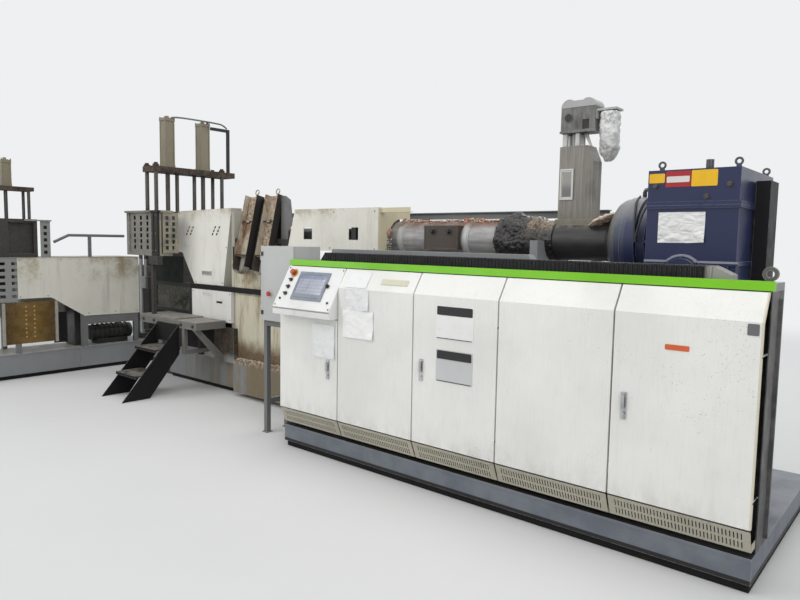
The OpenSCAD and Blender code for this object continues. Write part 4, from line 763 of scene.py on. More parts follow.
def node_finishes():
    """Which CAD nodes wear which finish."""
    return {
        cabinet_white: ("panel_2", "panel_4", "door_1", "door_3"),
        door_white: ("door_5",),
        end_sheet: ("cabinet_ends", "cabinet_back", "cabinet_dividers"),
        base_grey: ("base_frame", "barrel_stand", "head_base", "arm_base", "cabinet_deck"),
        tray_black: ("cable_tray",),
        cover_bands: ("barrel_cover",),
        lambda: bare_metal("tie_bar_steel", (0.085, 0.078, 0.07), 0.36, (1, 1, 0.1), 0.6, 0.6): ("tie_bars",),
        filter_steel: ("filter_body",),
        platform_plate: ("work_platform",),
        amber_panel: ("arm_screen",),
        console_keys: ("console_buttons",),
        bezel: ("console_screen",),
        wrapped_film: ("crammer_motor",),
        console_white: ("console_body",),
        # vent bands: a darker beige that stands for dirt together with painted shade of the inward-leaning
        # strips
        lambda: enamel("vent_beige", (0.42, 0.395, 0.315), 0.6, 0.45, 0.35, 0.6, 0.6): ("vent_bands",),
        lambda: enamel("fascia_green", tint("green"), 0.42, 0.0, 0.1, 0.25, 0.0): ("green_fascia",),
        plinth_black: ("plinth",),
        gearbox_enamel: ("gearbox_lower", "gearbox_upper", "gearbox_cap"),
        housing_bands: ("bearing_housing",),
        lambda: enamel("beam_grey", (0.17, 0.18, 0.18), 0.5, 0.4, 0.3, 0.5, 0.85):
            ("drive_motor", "rear_beam"),
        box_enamel: ("ebox", "ebox_door"),
        lambda: enamel("stand_grey", (0.15, 0.15, 0.15), 0.5, 0.4, 0.3, 0.6, 0.7):
            ("ebox_stand", "arm_frame"),
        tube_dark: ("head_frame",),
        stair_black: ("stairs", "belt_guard"),
        lambda: enamel("cylinder_khaki", (0.21, 0.185, 0.125), 0.4, 0.4, 0.4, 0.5, 0.7): ("cylinders",),
        lambda: bare_metal("dark_barrel", (0.04, 0.039, 0.038), 0.42, (0.1, 1, 1), 0.5, 0.4):
            ("feed_barrel", "arm_barrel"),
        lambda: bare_metal("handle_chrome", (0.60, 0.61, 0.62), 0.2, (1, 1, 0.2), 0.25, 1.0):
            ("handle_1", "handle_3", "handle_5", "hinge_pins"),
        punched_sheet: ("perforated_guard", "arm_guard"),
        tower_sheet: ("feed_tower",),
        tower_top: ("tower_head",),
        lambda: enamel("hump_white", (0.40, 0.40, 0.39), 0.6, 0.3, 0.4, 0.5, 0.9): ("belt_cover",),
        lambda: burnt("burnt_iron"): ("melt_collar",),
        terminal_brown: ("terminal_box",),
        trough_plates: ("troughs",),
        lambda: rusty("plate_brown", (0.04, 0.028, 0.021), (0.105, 0.07, 0.048)): ("top_plate",),
        hood_white: ("head_cover",),
        guard_white: ("slant_guard",),
        lambda: stained("housing_white", (0.60, 0.565, 0.43), 0.8, 0.55, 0.46, (0.42, 0.60), 1.10):
            ("head_housing",),
        lower_white: ("head_panel",),
        lambda: stained("arm_white", (0.68, 0.66, 0.575), 0.35, 0.10, 0.52, roof=1.12): ("arm_cover",),
    }


# Mesh tools

def free_selection():
    if bpy.context.object and bpy.context.object.mode != "OBJECT":
        bpy.ops.object.mode_set(mode="OBJECT")
    bpy.ops.object.select_all(action="DESELECT")


def choose(obj):
    """Leaves one object selected and active."""
    free_selection()
    obj.select_set(True)
    bpy.context.view_layer.objects.active = obj


def settle(obj, name, material, body="frame"):
    """Names a finished piece, puts its place in its mesh, dresses it and lets it ride."""
    apply_place(obj)
    obj.name = name
    obj.data.name = name
    obj.data.materials.clear()
    obj.data.materials.append(material)
    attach(obj, body)
    obj.select_set(False)
    return obj


def apply_place(obj):
    """Bakes the object's place, turn and size into its mesh."""
    choose(obj)
    bpy.ops.object.transform_apply(location=True, rotation=True, scale=True)


def modify(obj, kind, **settings):
    """Adds one modifier and applies it."""
    bpy.context.view_layer.objects.active = obj
    modifier = obj.modifiers.new(kind.lower(), kind)
    for key, value in settings.items():
        setattr(modifier, key, value)
    bpy.ops.object.modifier_apply(modifier=modifier.name)


def crumple(obj, size, strength, depth, direction="NORMAL"):
    """Pushes the surface in and out by clouds of the given size."""
    texture = bpy.data.textures.new("folds", "CLOUDS")
    texture.noise_scale = size
    texture.noise_depth = depth
    modify(obj, "DISPLACE", texture=texture, texture_coords="GLOBAL", strength=strength, mid_level=0.5,
           direction=direction)


def leave_edit_mode():
    bpy.ops.object.mode_set(mode="OBJECT")


def in_edit_mode(obj):
    choose(obj)
    bpy.ops.object.mode_set(mode="EDIT")
    return bmesh.from_edit_mesh(obj.data)


def block(low, high, round_off=0.0):
    """A box between two corners, with rounded edges."""
    low, high = Vector(low), Vector(high)
    bpy.ops.mesh.primitive_cube_add(size=1, location=(low + high) / 2, scale=(high - low))
    obj = bpy.context.object
    apply_place(obj)
    if round_off:
        in_edit_mode(obj)
        bpy.ops.mesh.select_all(action="SELECT")
        bpy.ops.mesh.bevel(offset=round_off, segments=2, affect="EDGES")
        leave_edit_mode()
    return obj


def drum(sides, radius, depth, place, turn=(0, 0, 0), **settings):
    bpy.ops.mesh.primitive_cylinder_add(vertices=sides, radius=radius, depth=depth, location=place,
                                        rotation=turn, **settings)
    apply_place(bpy.context.object)
    return bpy.context.object


def ball(detail, radius, **settings):
    bpy.ops.mesh.primitive_ico_sphere_add(subdivisions=detail, radius=radius, **settings)
    apply_place(bpy.context.object)
    return bpy.context.object


def flat_sheet(size, across, up):
    """A grid of the given size, still to be folded or crumpled."""
    bpy.ops.mesh.primitive_grid_add(x_subdivisions=across, y_subdivisions=up, size=1)
    obj = bpy.context.object
    obj.scale = (*size, 1)
    apply_place(obj)
    return obj


def pick_faces(mesh, test):
    """Selects the faces whose centre and normal pass the test."""
    for face in mesh.faces:
        face.select_set(test(face.calc_center_median(), face.normal))


def join(pieces):
    free_selection()
    for piece in pieces:
        piece.select_set(True)
    bpy.context.view_layer.objects.active = pieces[0]
    if len(pieces) > 1:
        bpy.ops.object.join()
    return bpy.context.view_layer.objects.active


def smooth(obj, angle=35):
    choose(obj)
    bpy.ops.object.shade_smooth_by_angle(angle=math.radians(angle))


def copies(obj, places):
    """Sets copies of a modelled piece, each with its own mesh, at the given matrices."""
    made = []
    for place in places:
        other = obj.copy()
        other.data = obj.data.copy()
        bpy.context.collection.objects.link(other)
        other.data.transform(place)
        made.append(other)
    bpy.data.objects.remove(obj)
    return join(made)


def facing(direction, place):
    """Turns +Z to the direction and moves it to the place."""
    turn = Vector(direction).to_track_quat("Z", "Y").to_matrix().to_4x4()
    return Matrix.Translation(place) @ turn


def upright(x, y, z):
    """Local X along the machine, Y up, Z towards the operator."""
    return Matrix.Translation((x, y, z)) @ Matrix.Rotation(math.radians(90), 4, "X")


def pipe(points, radius):
    """A bent tube through the points, with soft elbows."""
    curve = bpy.data.curves.new("run", "CURVE")
    curve.dimensions = "3D"
    curve.bevel_depth = radius
    curve.bevel_resolution = 5
    curve.use_fill_caps = True
    spline = curve.splines.new("NURBS")
    spline.points.add(len(points) - 1)
    for point, spot in zip(spline.points, points):
        point.co = (*spot, 1)
    spline.use_endpoint_u = True
    spline.order_u = 3
    spline.resolution_u = 10
    obj = bpy.data.objects.new("run", curve)
    bpy.context.collection.objects.link(obj)
    choose(obj)
    bpy.ops.object.convert(target="MESH")
    return bpy.context.object


def console_place():
    """Matrix of the console's sloped face: X along it, Y up the slope, Z out of it."""
    lean = math.radians(CONSOLE_LEAN)
    y, z = CONSOLE_TOP
    foot = (0, y - CONSOLE_SLOPE * math.sin(lean), z - CONSOLE_SLOPE * math.cos(lean))
    return Matrix.Translation(foot) @ Matrix.Rotation(math.pi / 2 - lean, 4, "X")


def trough_place(x):
    """Matrix of a trough's floor: Y up its slope, Z out of it."""
    return Matrix.Translation((x, *TROUGH_FOOT)) @ Matrix.Rotation(math.radians(TROUGH_LEAN), 4, "X")


# Operators

class EXTRUDER_OT_stage(bpy.types.Operator):
    """Add the floor, the lamps and the camera of the photograph"""
    bl_idname = "extruder.stage"
    bl_label = "Stage"

    def execute(self, context):
        self.camera(context.scene)
        self.floor()
        self.world(context.scene)
        for lamp in LAMPS:
            self.lamp(*lamp)
        context.scene.view_settings.view_transform = "Standard"
        return {"FINISHED"}

    def camera(self, scene):
        data = bpy.data.cameras.new("photo_camera")
        data.sensor_width = 36
        data.lens = data.sensor_width * FOCAL_PIXELS / PHOTO_WIDTH
        data.clip_end = 200
        obj = bpy.data.objects.new("photo_camera", data)
        scene.collection.objects.link(obj)
        turn = Matrix.Rotation(math.radians(TURN_LEFT), 4, "Z")
        tilt = Matrix.Rotation(math.radians(90 - LOOK_DOWN), 4, "X")
        roll = Matrix.Rotation(math.radians(ROLL), 4, "Z")
        obj.matrix_world = Matrix.Translation(EYE) @ turn @ tilt @ roll
        scene.camera = obj

    def floor(self):
        bpy.ops.mesh.primitive_plane_add(size=120, location=(0, 0, -0.0005))
        obj = bpy.context.object
        f = Finish("pale_floor", 0.75)
        f.colour(f.mix(f.noise(0.6, 5), (0.62, 0.62, 0.61), (0.68, 0.68, 0.67)))
        f.bump(f.noise(40, 4), 0.001, 0.2)
        self.fade(f)
        obj.name = "floor"
        obj.data.materials.append(f.material)
        obj.select_set(False)

    def fade(self, f):
        """Lets the floor run into the pale background a few metres away from the machine."""
        reach = f.reach(f.plus(f.axis("X"), -MIDDLE[0]), f.plus(f.axis("Y"), -MIDDLE[1]))
        far = f.both(f.span(reach, 5.0, 13.0), background_rays(f.tree))
        ground = f.node("Emission", {"Color": BACKGROUND}).outputs["Emission"]
        blend = f.node("MixShader", {0: far, 1: f.shader.outputs["BSDF"], 2: ground})
        feed(f.tree, f.output.inputs["Surface"], blend.outputs[0])

    def world(self, scene):
        world = bpy.data.worlds.new("studio")
        scene.world = world
        world.use_nodes = True
        tree = world.node_tree
        tree.nodes.clear()
        lit = new_node(tree, "Background", {"Color": SKY, "Strength": SKY_STRENGTH})
        shown = new_node(tree, "Background", {"Color": BACKGROUND, "Strength": 1})
        feeds = {0: background_rays(tree), 1: lit.outputs[0], 2: shown.outputs[0]}
        new_node(tree, "OutputWorld", {"Surface": new_node(tree, "MixShader", feeds).outputs[0]})

    def lamp(self, name, place, aim, size, power):
        data = bpy.data.lights.new(name, "AREA")
        data.shape = "SQUARE"
        data.size = size
        data.energy = power
        obj = bpy.data.objects.new(name, data)
        bpy.context.scene.collection.objects.link(obj)
        look = (Vector(aim) - Vector(place)).to_track_quat("-Z", "Y")
        obj.matrix_world = Matrix.Translation(place) @ look.to_matrix().to_4x4()


class EXTRUDER_OT_finishes(bpy.types.Operator):
    """Give every CAD node its finish"""
    bl_idname = "extruder.finishes"
    bl_label = "Finishes"

    def execute(self, context):
        dressed = set()
        for make, names in node_finishes().items():
            material = make().material
            for name in names:
                slots = NODES[name].data.materials
                slots.clear()
                slots.append(material)
                dressed.add(name)
        bare = set(NODES) - dressed
        if bare:
            raise RuntimeError(f"no finish for {sorted(bare)}")
        return {"FINISHED"}


class EXTRUDER_OT_papers(bpy.types.Operator):
    """Hang the papers, bare signs and colour plates"""
    bl_idname = "extruder.papers"
    bl_label = "Papers and plates"

    def execute(self, context):
        white = paper("white_paper", (0.84, 0.84, 0.82), 0.2).material
        wrinkled = paper("wrinkled_paper", (0.80, 0.80, 0.78), 0.8).material
        plastic = paper("plastic_sleeve", (0.76, 0.765, 0.76), 0.16).material
        tape = paper("pale_tape", (0.60, 0.575, 0.43), 0.1).material
        for row in (("upper_sleeve", "frame", plastic, (-0.855, FACE_Y, 1.232), (0.215, 0.150)),
                    ("lower_paper", "frame", white, (-0.847, FACE_Y, 1.058), (0.292, 0.196)),
                    ("door_paper", "door_1", plastic, (-1.195, FACE_Y, 0.905), (0.236, 0.250)),
                    ("gearbox_paper", "frame", wrinkled, (1.063, GEARBOX_Y, 1.757), (0.268, 0.182))):
            self.sheet(*row)
        self.shoulder_sheet("shoulder_sleeve", plastic, -0.88, 0.075, (0.20, 0.13))
        self.shoulder_sheet("tape_strip", tape, -0.545, 0.072, (0.235, 0.042))
        self.sign("upper_sign", (-0.018, FACE_Y, 1.146), (0.286, 0.212), (0.84, 0.84, 0.82))
        self.sign("lower_sign", (-0.016, FACE_Y, 0.870), (0.278, 0.204), (0.56, 0.56, 0.56))
        yellow = enamel("label_yellow", (0.80, 0.46, 0.01), 0.4, 0.2, 0.1, 0.3, 0.2).material
        red = enamel("label_red", (0.36, 0.014, 0.018), 0.4, 0.2, 0.1, 0.3, 0.2).material
        pale = enamel("label_pale", (0.70, 0.66, 0.62), 0.5, 0.2, 0.1, 0.2, 0.2).material
        dark = enamel("label_grey", (0.13, 0.13, 0.14), 0.5, 0.3, 0.1, 0.3, 0.2).material
        orange = enamel("label_orange", (0.62, 0.11, 0.03), 0.5, 0.2, 0.1, 0.2, 0.2).material
        for row in (("label_a", "frame", yellow, (0.908, GEARBOX_Y, 2.052), (0.092, 0.056)),
                    ("label_b", "frame", red, (1.032, GEARBOX_Y, 2.044), (0.144, 0.094)),
                    ("label_b_band", "frame", pale, (1.032, GEARBOX_Y - 0.0016, 2.042), (0.132, 0.036)),
                    ("label_c", "frame", yellow, (1.180, GEARBOX_Y, 2.044), (0.144, 0.094)),
                    ("door_label", "door_5", orange, (1.318, FACE_Y, 1.151), (0.116, 0.027)),
                    ("door_plate", "door_5", dark, (1.650, FACE_Y, 1.273), (0.050, 0.054))):
            self.label(*row)
        return {"FINISHED"}

    def sheet(self, name, body, material, place, size):
        """A sheet of paper: crumpled a little, with one corner lifted."""
        obj = flat_sheet(size, 48, 36)
        obj.matrix_world = upright(place[0], place[1] - SHEET_GAP, place[2])
        crumple(obj, 0.055, 0.010, 1, "Z")
        self.curl(obj, size)
        modify(obj, "SOLIDIFY", thickness=sizes().paper, offset=0)
        smooth(obj, 60)
        settle(obj, name, material, body)

    def curl(self, obj, size):
        mesh = in_edit_mode(obj)
        bpy.ops.mesh.select_all(action="DESELECT")
        corner = max(mesh.verts, key=lambda v: v.co.x - v.co.y)
        corner.select_set(True)
        mesh.select_flush_mode()
        bpy.ops.transform.translate(value=(0, -0.008, 0.004), use_proportional_edit=True,
                                    proportional_size=min(size) * 0.5)
        leave_edit_mode()

    def shoulder_sheet(self, name, material, x, up, size):
        """A sheet on the sloping shoulder above the fold."""
        lean = math.atan2(SHOULDER[0], SHOULDER[1])
        obj = flat_sheet(size, 14, 8)
        place = Matrix.Translation((x, FACE_Y, FOLD_Z)) @ Matrix.Rotation(math.pi / 2 - lean, 4, "X")
        obj.matrix_world = place @ Matrix.Translation((0, up, 0.003))
        crumple(obj, 0.05, 0.003, 2, "Z")
        modify(obj, "SOLIDIFY", thickness=sizes().paper, offset=0)
        smooth(obj, 60)
        settle(obj, name, material)

    def sign(self, name, place, size, tone):
        """A bare sign: a pale plate with rounded corners and a black header band."""
        body = "door_3"
        pale = enamel(name + "_white", tone, 0.45, 0.15, 0.1, 0.3, 0.2).material
        dark = enamel(name + "_black", (0.010, 0.010, 0.011), 0.45, 0.1, 0.1, 0.3, 0.2).material
        self.label(name, body, pale, place, size)
        x, y, z = place
        for part, up, height in (("_header", 0.345, size[1] * 0.26), ("_footer", -0.475, 0.004)):
            spot = (x, y - BAND_RISE, z + size[1] * up)
            self.label(name + part, body, dark, spot, (size[0] * 0.94, height))

    def label(self, name, body, material, place, size):
        x, y, z = place
        w, h = size[0] / 2, size[1] / 2
        obj = block((x - w, y - LABEL_DEPTH, z - h), (x + w, y - 0.0003, z + h))
        mesh = in_edit_mode(obj)
        pick_faces(mesh, lambda c, n: False)
        for edge in mesh.edges:
            along = edge.verts[0].co - edge.verts[1].co
            edge.select_set(abs(along.y) > 0.001 and abs(along.x) < 1e-5 and abs(along.z) < 1e-5)
        bpy.ops.mesh.bevel(offset=min(0.006, h * 0.4), segments=4, affect="EDGES")
        leave_edit_mode()
        settle(obj, name, material, body)


class EXTRUDER_OT_fasteners(bpy.types.Operator):
    """Set the bolts, the screws and the electrical box's hinges"""
    bl_idname = "extruder.fasteners"
    bl_label = "Bolts, screws and hinges"

    def execute(self, context):
        steel = bare_metal("fastener_steel", (0.30, 0.30, 0.30), 0.35, (1, 1, 1), 0.5, 0.9).material
        dark = bare_metal("fastener_dark", (0.10, 0.095, 0.09), 0.45, (1, 1, 1), 0.6, 0.8).material
        out = (0, -1, 0)
        self.bolts("gearbox_bolts", dark, out,
                   [(x, GEARBOX_Y, z) for x, z in ((0.901, 2.006), (1.319, 2.002), (1.197, 1.936))])
        self.bolts("platform_bolts", dark, out, [(x, DECK_Y, 0.736) for x in (-4.62, -4.40, -3.86, -3.64)])
        hood = [(-4.545, 1.93), (-4.05, 1.945), (-3.57, 1.945), (-4.635, 1.50), (-4.47, 1.46), (-3.64, 1.55),
                (-3.715, 1.165), (-4.22, 1.155), (-2.50, 1.90), (-2.0, 1.90), (-1.50, 1.90), (-2.60, 1.575),
                (-2.05, 1.575), (-1.50, 1.575)]
        lower = [(x, LOWER_PANEL_Y, z) for x in (-4.22, -3.53) for z in (0.78, 1.055)]
        self.screws("cover_screws", steel, out, [(x, HOOD_Y, z) for x, z in hood] + lower)
        self.screws("punched_screws", steel, out,
                    [(x, PUNCHED_Y, z) for x in (-5.045, -4.515, -4.437) for z in (1.50, 1.69, 1.89)])
        rows = ((1.365, (-1.56, -1.1, -0.62, -0.16)), (0.70, (-0.79, -0.45, -0.16)), (0.94, (-1.56, -1.26)))
        self.screws("arm_screws", steel, (1, 0, 0), [(ARM_X, y, z) for z, row in rows for y in row])
        self.hinges("box_hinges", dark, BOX_HINGE_X, (1.035, 1.525))
        place = console_place()
        self.screws("console_screws", steel, place.to_3x3() @ Vector((0, 0, 1)),
                    [place @ Vector((x, s, 0.0003)) for x in (-1.66, -1.072) for s in (0.018, 0.334)])
        return {"FINISHED"}

    def bolts(self, name, material, direction, spots):
        """Hexagon heads on washers."""
        size = sizes().bolt
        head = drum(6, size * 0.577, size * 0.42, (0, 0, size * 0.31))
        mesh = in_edit_mode(head)
        pick_faces(mesh, lambda c, n: n.z > 0.9)
        bpy.ops.mesh.bevel(offset=size * 0.06, segments=2, affect="EDGES")
        leave_edit_mode()
        washer = drum(24, size * 0.72, size * 0.1, (0, 0, size * 0.05))
        mesh = in_edit_mode(washer)
        pick_faces(mesh, lambda c, n: n.z > 0.9)
        bpy.ops.mesh.inset(thickness=size * 0.05)
        leave_edit_mode()
        made = copies(join([head, washer]), [facing(direction, spot) for spot in spots])
        settle(made, name, material)

    def hinges(self, name, material, x, heights):
        """Small leaf hinges with a knuckle on the electrical box's door."""
        made = []
        for z in heights:
            made.append(block((x - 0.010, -1.0258, z - 0.017), (x + 0.014, -1.0215, z + 0.017), 0.0012))
            made.append(drum(16, 0.0042, 0.036, (x - 0.008, -1.0262, z)))
        settle(join(made), name, material, "ebox_door")

    def screws(self, name, material, direction, spots):
        """Domed heads with a socket."""
        r = sizes().screw / 2
        head = drum(16, r, r * 0.5, (0, 0, r * 0.25))
        mesh = in_edit_mode(head)
        pick_faces(mesh, lambda c, n: n.z > 0.9)
        bpy.ops.mesh.bevel(offset=r * 0.25, segments=2, affect="EDGES")
        pick_faces(mesh, lambda c, n: n.z > 0.99)
        bpy.ops.mesh.inset(thickness=r * 0.25)
        bpy.ops.mesh.extrude_region_move(TRANSFORM_OT_translate={"value": (0, 0, -r * 0.25)})
        leave_edit_mode()
        settle(copies(head, [facing(direction, spot) for spot in spots]), name, material)


class EXTRUDER_OT_console(bpy.types.Operator):
    """Fit the display, the stop button's collar and the knobs' rings"""
    bl_idname = "extruder.console"
    bl_label = "Console fittings"

    def execute(self, context):
        place = console_place()
        pane = block((-1.487, 0.119, 0.0052), (-1.207, 0.280, 0.0068), 0.0006)
        pane.matrix_world = place
        settle(pane, "display", self.display())
        ring = bare_metal("knob_ring", (0.45, 0.45, 0.45), 0.3, (1, 1, 1), 0.2).material
        spots = [(-1.591, s) for s in (0.115, 0.173, 0.232)] + [(-1.167, 0.198)]
        self.rings("knob_rings", ring, place, spots, 0.0162, 0.0022)
        amber = enamel("stop_collar", (0.66, 0.34, 0.05), 0.4, 0.3, 0.1, 0.3, 0.2).material
        self.rings("stop_ring", amber, place, [(-1.584, 0.291)], 0.030, 0.0052)
        return {"FINISHED"}

    def rings(self, name, material, place, spots, radius, height):
        bpy.ops.mesh.primitive_torus_add(major_radius=radius, minor_radius=height,
                                         major_segments=40, minor_segments=10)
        obj = bpy.context.object
        obj.scale = (1, 1, 0.6)
        apply_place(obj)
        made = copies(obj, [place @ Matrix.Translation((x, s, height * 0.6)) for x, s in spots])
        smooth(made)
        settle(made, name, material)

    def display(self):
        """Switched-on screen: lavender ground with plain bars."""
        f = Finish("display_glass", 0.12)
        ground = (0.30, 0.32, 0.38)
        across = f.calc("FRACT", f.times(f.axis("X"), 24))
        up = f.calc("FRACT", f.times(f.axis("Z"), 42))
        cell = f.both(f.span(across, 0.10, 0.16), f.span(up, 0.24, 0.32))
        f.colour(f.mix(cell, shade(ground, 0.9), shade(ground, 1.08)))
        f.over(f.ramp("Z", 1.352, 1.354), (0.20, 0.23, 0.33))
        f.over(f.span(f.noise(30, 5), 0.55, 0.8, 0.35), (0.42, 0.44, 0.50))
        f.roughness(f.span(f.noise(18, 4), 0.3, 0.9, 0.4))
        return f.material


class EXTRUDER_OT_barrel(bpy.types.Operator):
    """Strew chips on the barrel and the ledge, add the crust, the wool and the foil"""
    bl_idname = "extruder.barrel"
    bl_label = "Barrel dirt and lagging"

    def execute(self, context):
        self.chips()
        self.mass()
        self.sleeve()
        self.lagging()
        return {"FINISHED"}

    def chips(self):
        """Chips of plastic in a low heap along the top of the cover, and some on the ledge."""
        for name, tone, pale, count, seed in (
                ("red_chips", (0.20, 0.045, 0.03), (0.55, 0.25, 0.18), 430, 4),
                ("cream_chips", (0.30, 0.25, 0.18), (0.66, 0.60, 0.48), 300, 9),
                ("green_chips", (0.10, 0.13, 0.05), (0.34, 0.40, 0.18), 60, 15)):
            f = Finish(name + "_mix", 0.5)
            f.colour(f.mix(f.span(f.noise(110, 1), 0.42, 0.58), tone, pale))
            f.bump(f.noise(200, 2), 0.0006, 0.4)
            settle(self.strewn(self.heap(random.Random(seed), count)), name, f.material)
            if name == "cream_chips":
                settle(self.strewn(self.ledge(random.Random(seed + 1), 240)), "ledge_chips", f.material)

    def heap(self, chance, count):
        """Places on top of the barrel cover."""
        places = []
        while len(places) < count:
            x = chance.uniform(*COVER_ENDS)
            side = chance.gauss(0, 0.17)
            heap = 0.020 * math.exp(-(side / 0.16) ** 2) * (0.5 + 0.5 * math.sin(9 * x + 1.5))
            r = COVER_RADIUS + heap * chance.random() + 0.002
            spot = (x, -r * math.sin(side), AXIS_Z + r * math.cos(side))
            places.append(Matrix.Translation(spot) @ self.tumble(chance))
        return places

    def ledge(self, chance, count):
        """Places along the ledge under the housing."""
        places = []
        while len(places) < count:
            x = -3.39 + 0.95 * chance.random() ** 1.3
            y = -0.312 - abs(chance.gauss(0, 0.032))
            if y < LEDGE_EDGE_Y:
                continue
            spot = (x, y, LEDGE_Z + 0.012 * chance.random() * max(0, 1 - (-0.30 - y) / 0.07))
            places.append(Matrix.Translation(spot) @ self.tumble(chance))
        return places

    def tumble(self, chance):
        """A random turn, tilt and size, drawn in that order."""
        turn = Matrix.Rotation(chance.uniform(0, 6.28), 4, "Z")
        tilt = Matrix.Rotation(chance.uniform(-0.7, 0.7), 4, "X")
        return turn @ tilt @ Matrix.Scale(chance.uniform(0.7, 2.6), 4)

    def strewn(self, places):
        seed = ball(1, sizes().chip / 2, scale=(1, 1, 0.45))
        modify(seed, "SIMPLE_DEFORM", deform_method="TAPER", factor=0.4, deform_axis="X")
        return copies(seed, places)

    def mass(self):
        """Burnt plastic: a lumpy black mass over the melt collar."""
        low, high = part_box("melt_collar")
        parts = [drum(64, MASS_RADIUS, high.x - low.x - 0.01, ((low.x + high.x) / 2, 0, AXIS_Z), LYING)]
        for x, y, z, r in ((-0.258, -0.04, 0.12, 0.090), (-0.285, -0.06, 0.095, 0.098),
                           (-0.225, -0.09, 0.06, 0.100), (-0.275, -0.125, -0.02, 0.092),
                           (-0.24, 0.09, 0.05, 0.110), (-0.31, 0.02, 0.125, 0.072)):
            parts.append(ball(4, r, location=(x, y, AXIS_Z + z)))
        mass = join(parts)
        modify(mass, "REMESH", mode="VOXEL", voxel_size=COARSE_VOXEL)
        crumple(mass, 0.055, 0.030, 3)
        crumple(mass, 0.017, 0.016, 3)
        smooth(mass, 80)
        settle(mass, "burnt_mass", burnt("burnt_plastic", (0.012, 0.011, 0.011)).material)
        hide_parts("melt_collar")

    def sleeve(self):
        """A thinner brown sleeve of burnt plastic after the mass, widest beside it."""
        sleeve = drum(96, SLEEVE_RADIUS, 0.205, (-0.022, 0, AXIS_Z), LYING, end_fill_type="NOTHING")
        in_edit_mode(sleeve)
        bpy.ops.mesh.select_all(action="SELECT")
        bpy.ops.mesh.subdivide(number_cuts=16, quadcorner="INNERVERT")
        mesh = bmesh.from_edit_mesh(sleeve.data)
        bpy.ops.mesh.select_all(action="DESELECT")
        for vert in mesh.verts:
            vert.select_set(vert.co.x < -0.056)
        mesh.select_flush_mode()
        bpy.ops.transform.resize(value=(1, 1.2, 1.2), center_override=(0, 0, AXIS_Z))
        leave_edit_mode()
        crumple(sleeve, 0.03, 0.016, 4)
        modify(sleeve, "SOLIDIFY", thickness=0.006, offset=0)
        smooth(sleeve, 70)
        f = burnt("brown_crust", (0.016, 0.014, 0.012))
        upper = f.both(f.ramp("Z", AXIS_Z + 0.03, AXIS_Z + 0.13), f.span(f.noise(60, 5), 0.35, 0.6))
        f.over(upper, (0.22, 0.16, 0.10))
        settle(sleeve, "brown_sleeve", f.material)

    def lagging(self):
        """Tufts of insulation at the hood and the throat, and a torn piece of foil."""
        pink = wool().material
        for name, place, size, lean in (("hood_wool", (-1.505, -0.165, 1.718), (0.075, 0.045, 0.055), 0),
                                        ("throat_wool", (0.437, -0.06, 1.818), (0.108, 0.105, 0.024), -24)):
            lump = ball(5, 1, location=place, scale=size, rotation=(0, math.radians(lean), 0))
            crumple(lump, 0.03, 0.034, 4)
            smooth(lump, 80)
            settle(lump, name, pink)
        wrap = flat_sheet((0.20, 0.13), 60, 36)
        wrap.matrix_world = upright(-1.50, -0.192, 1.605)
        crumple(wrap, 0.03, 0.05, 3)
        modify(wrap, "SOLIDIFY", thickness=0.0015, offset=0)
        settle(wrap, "foil_wrap", foil().material)


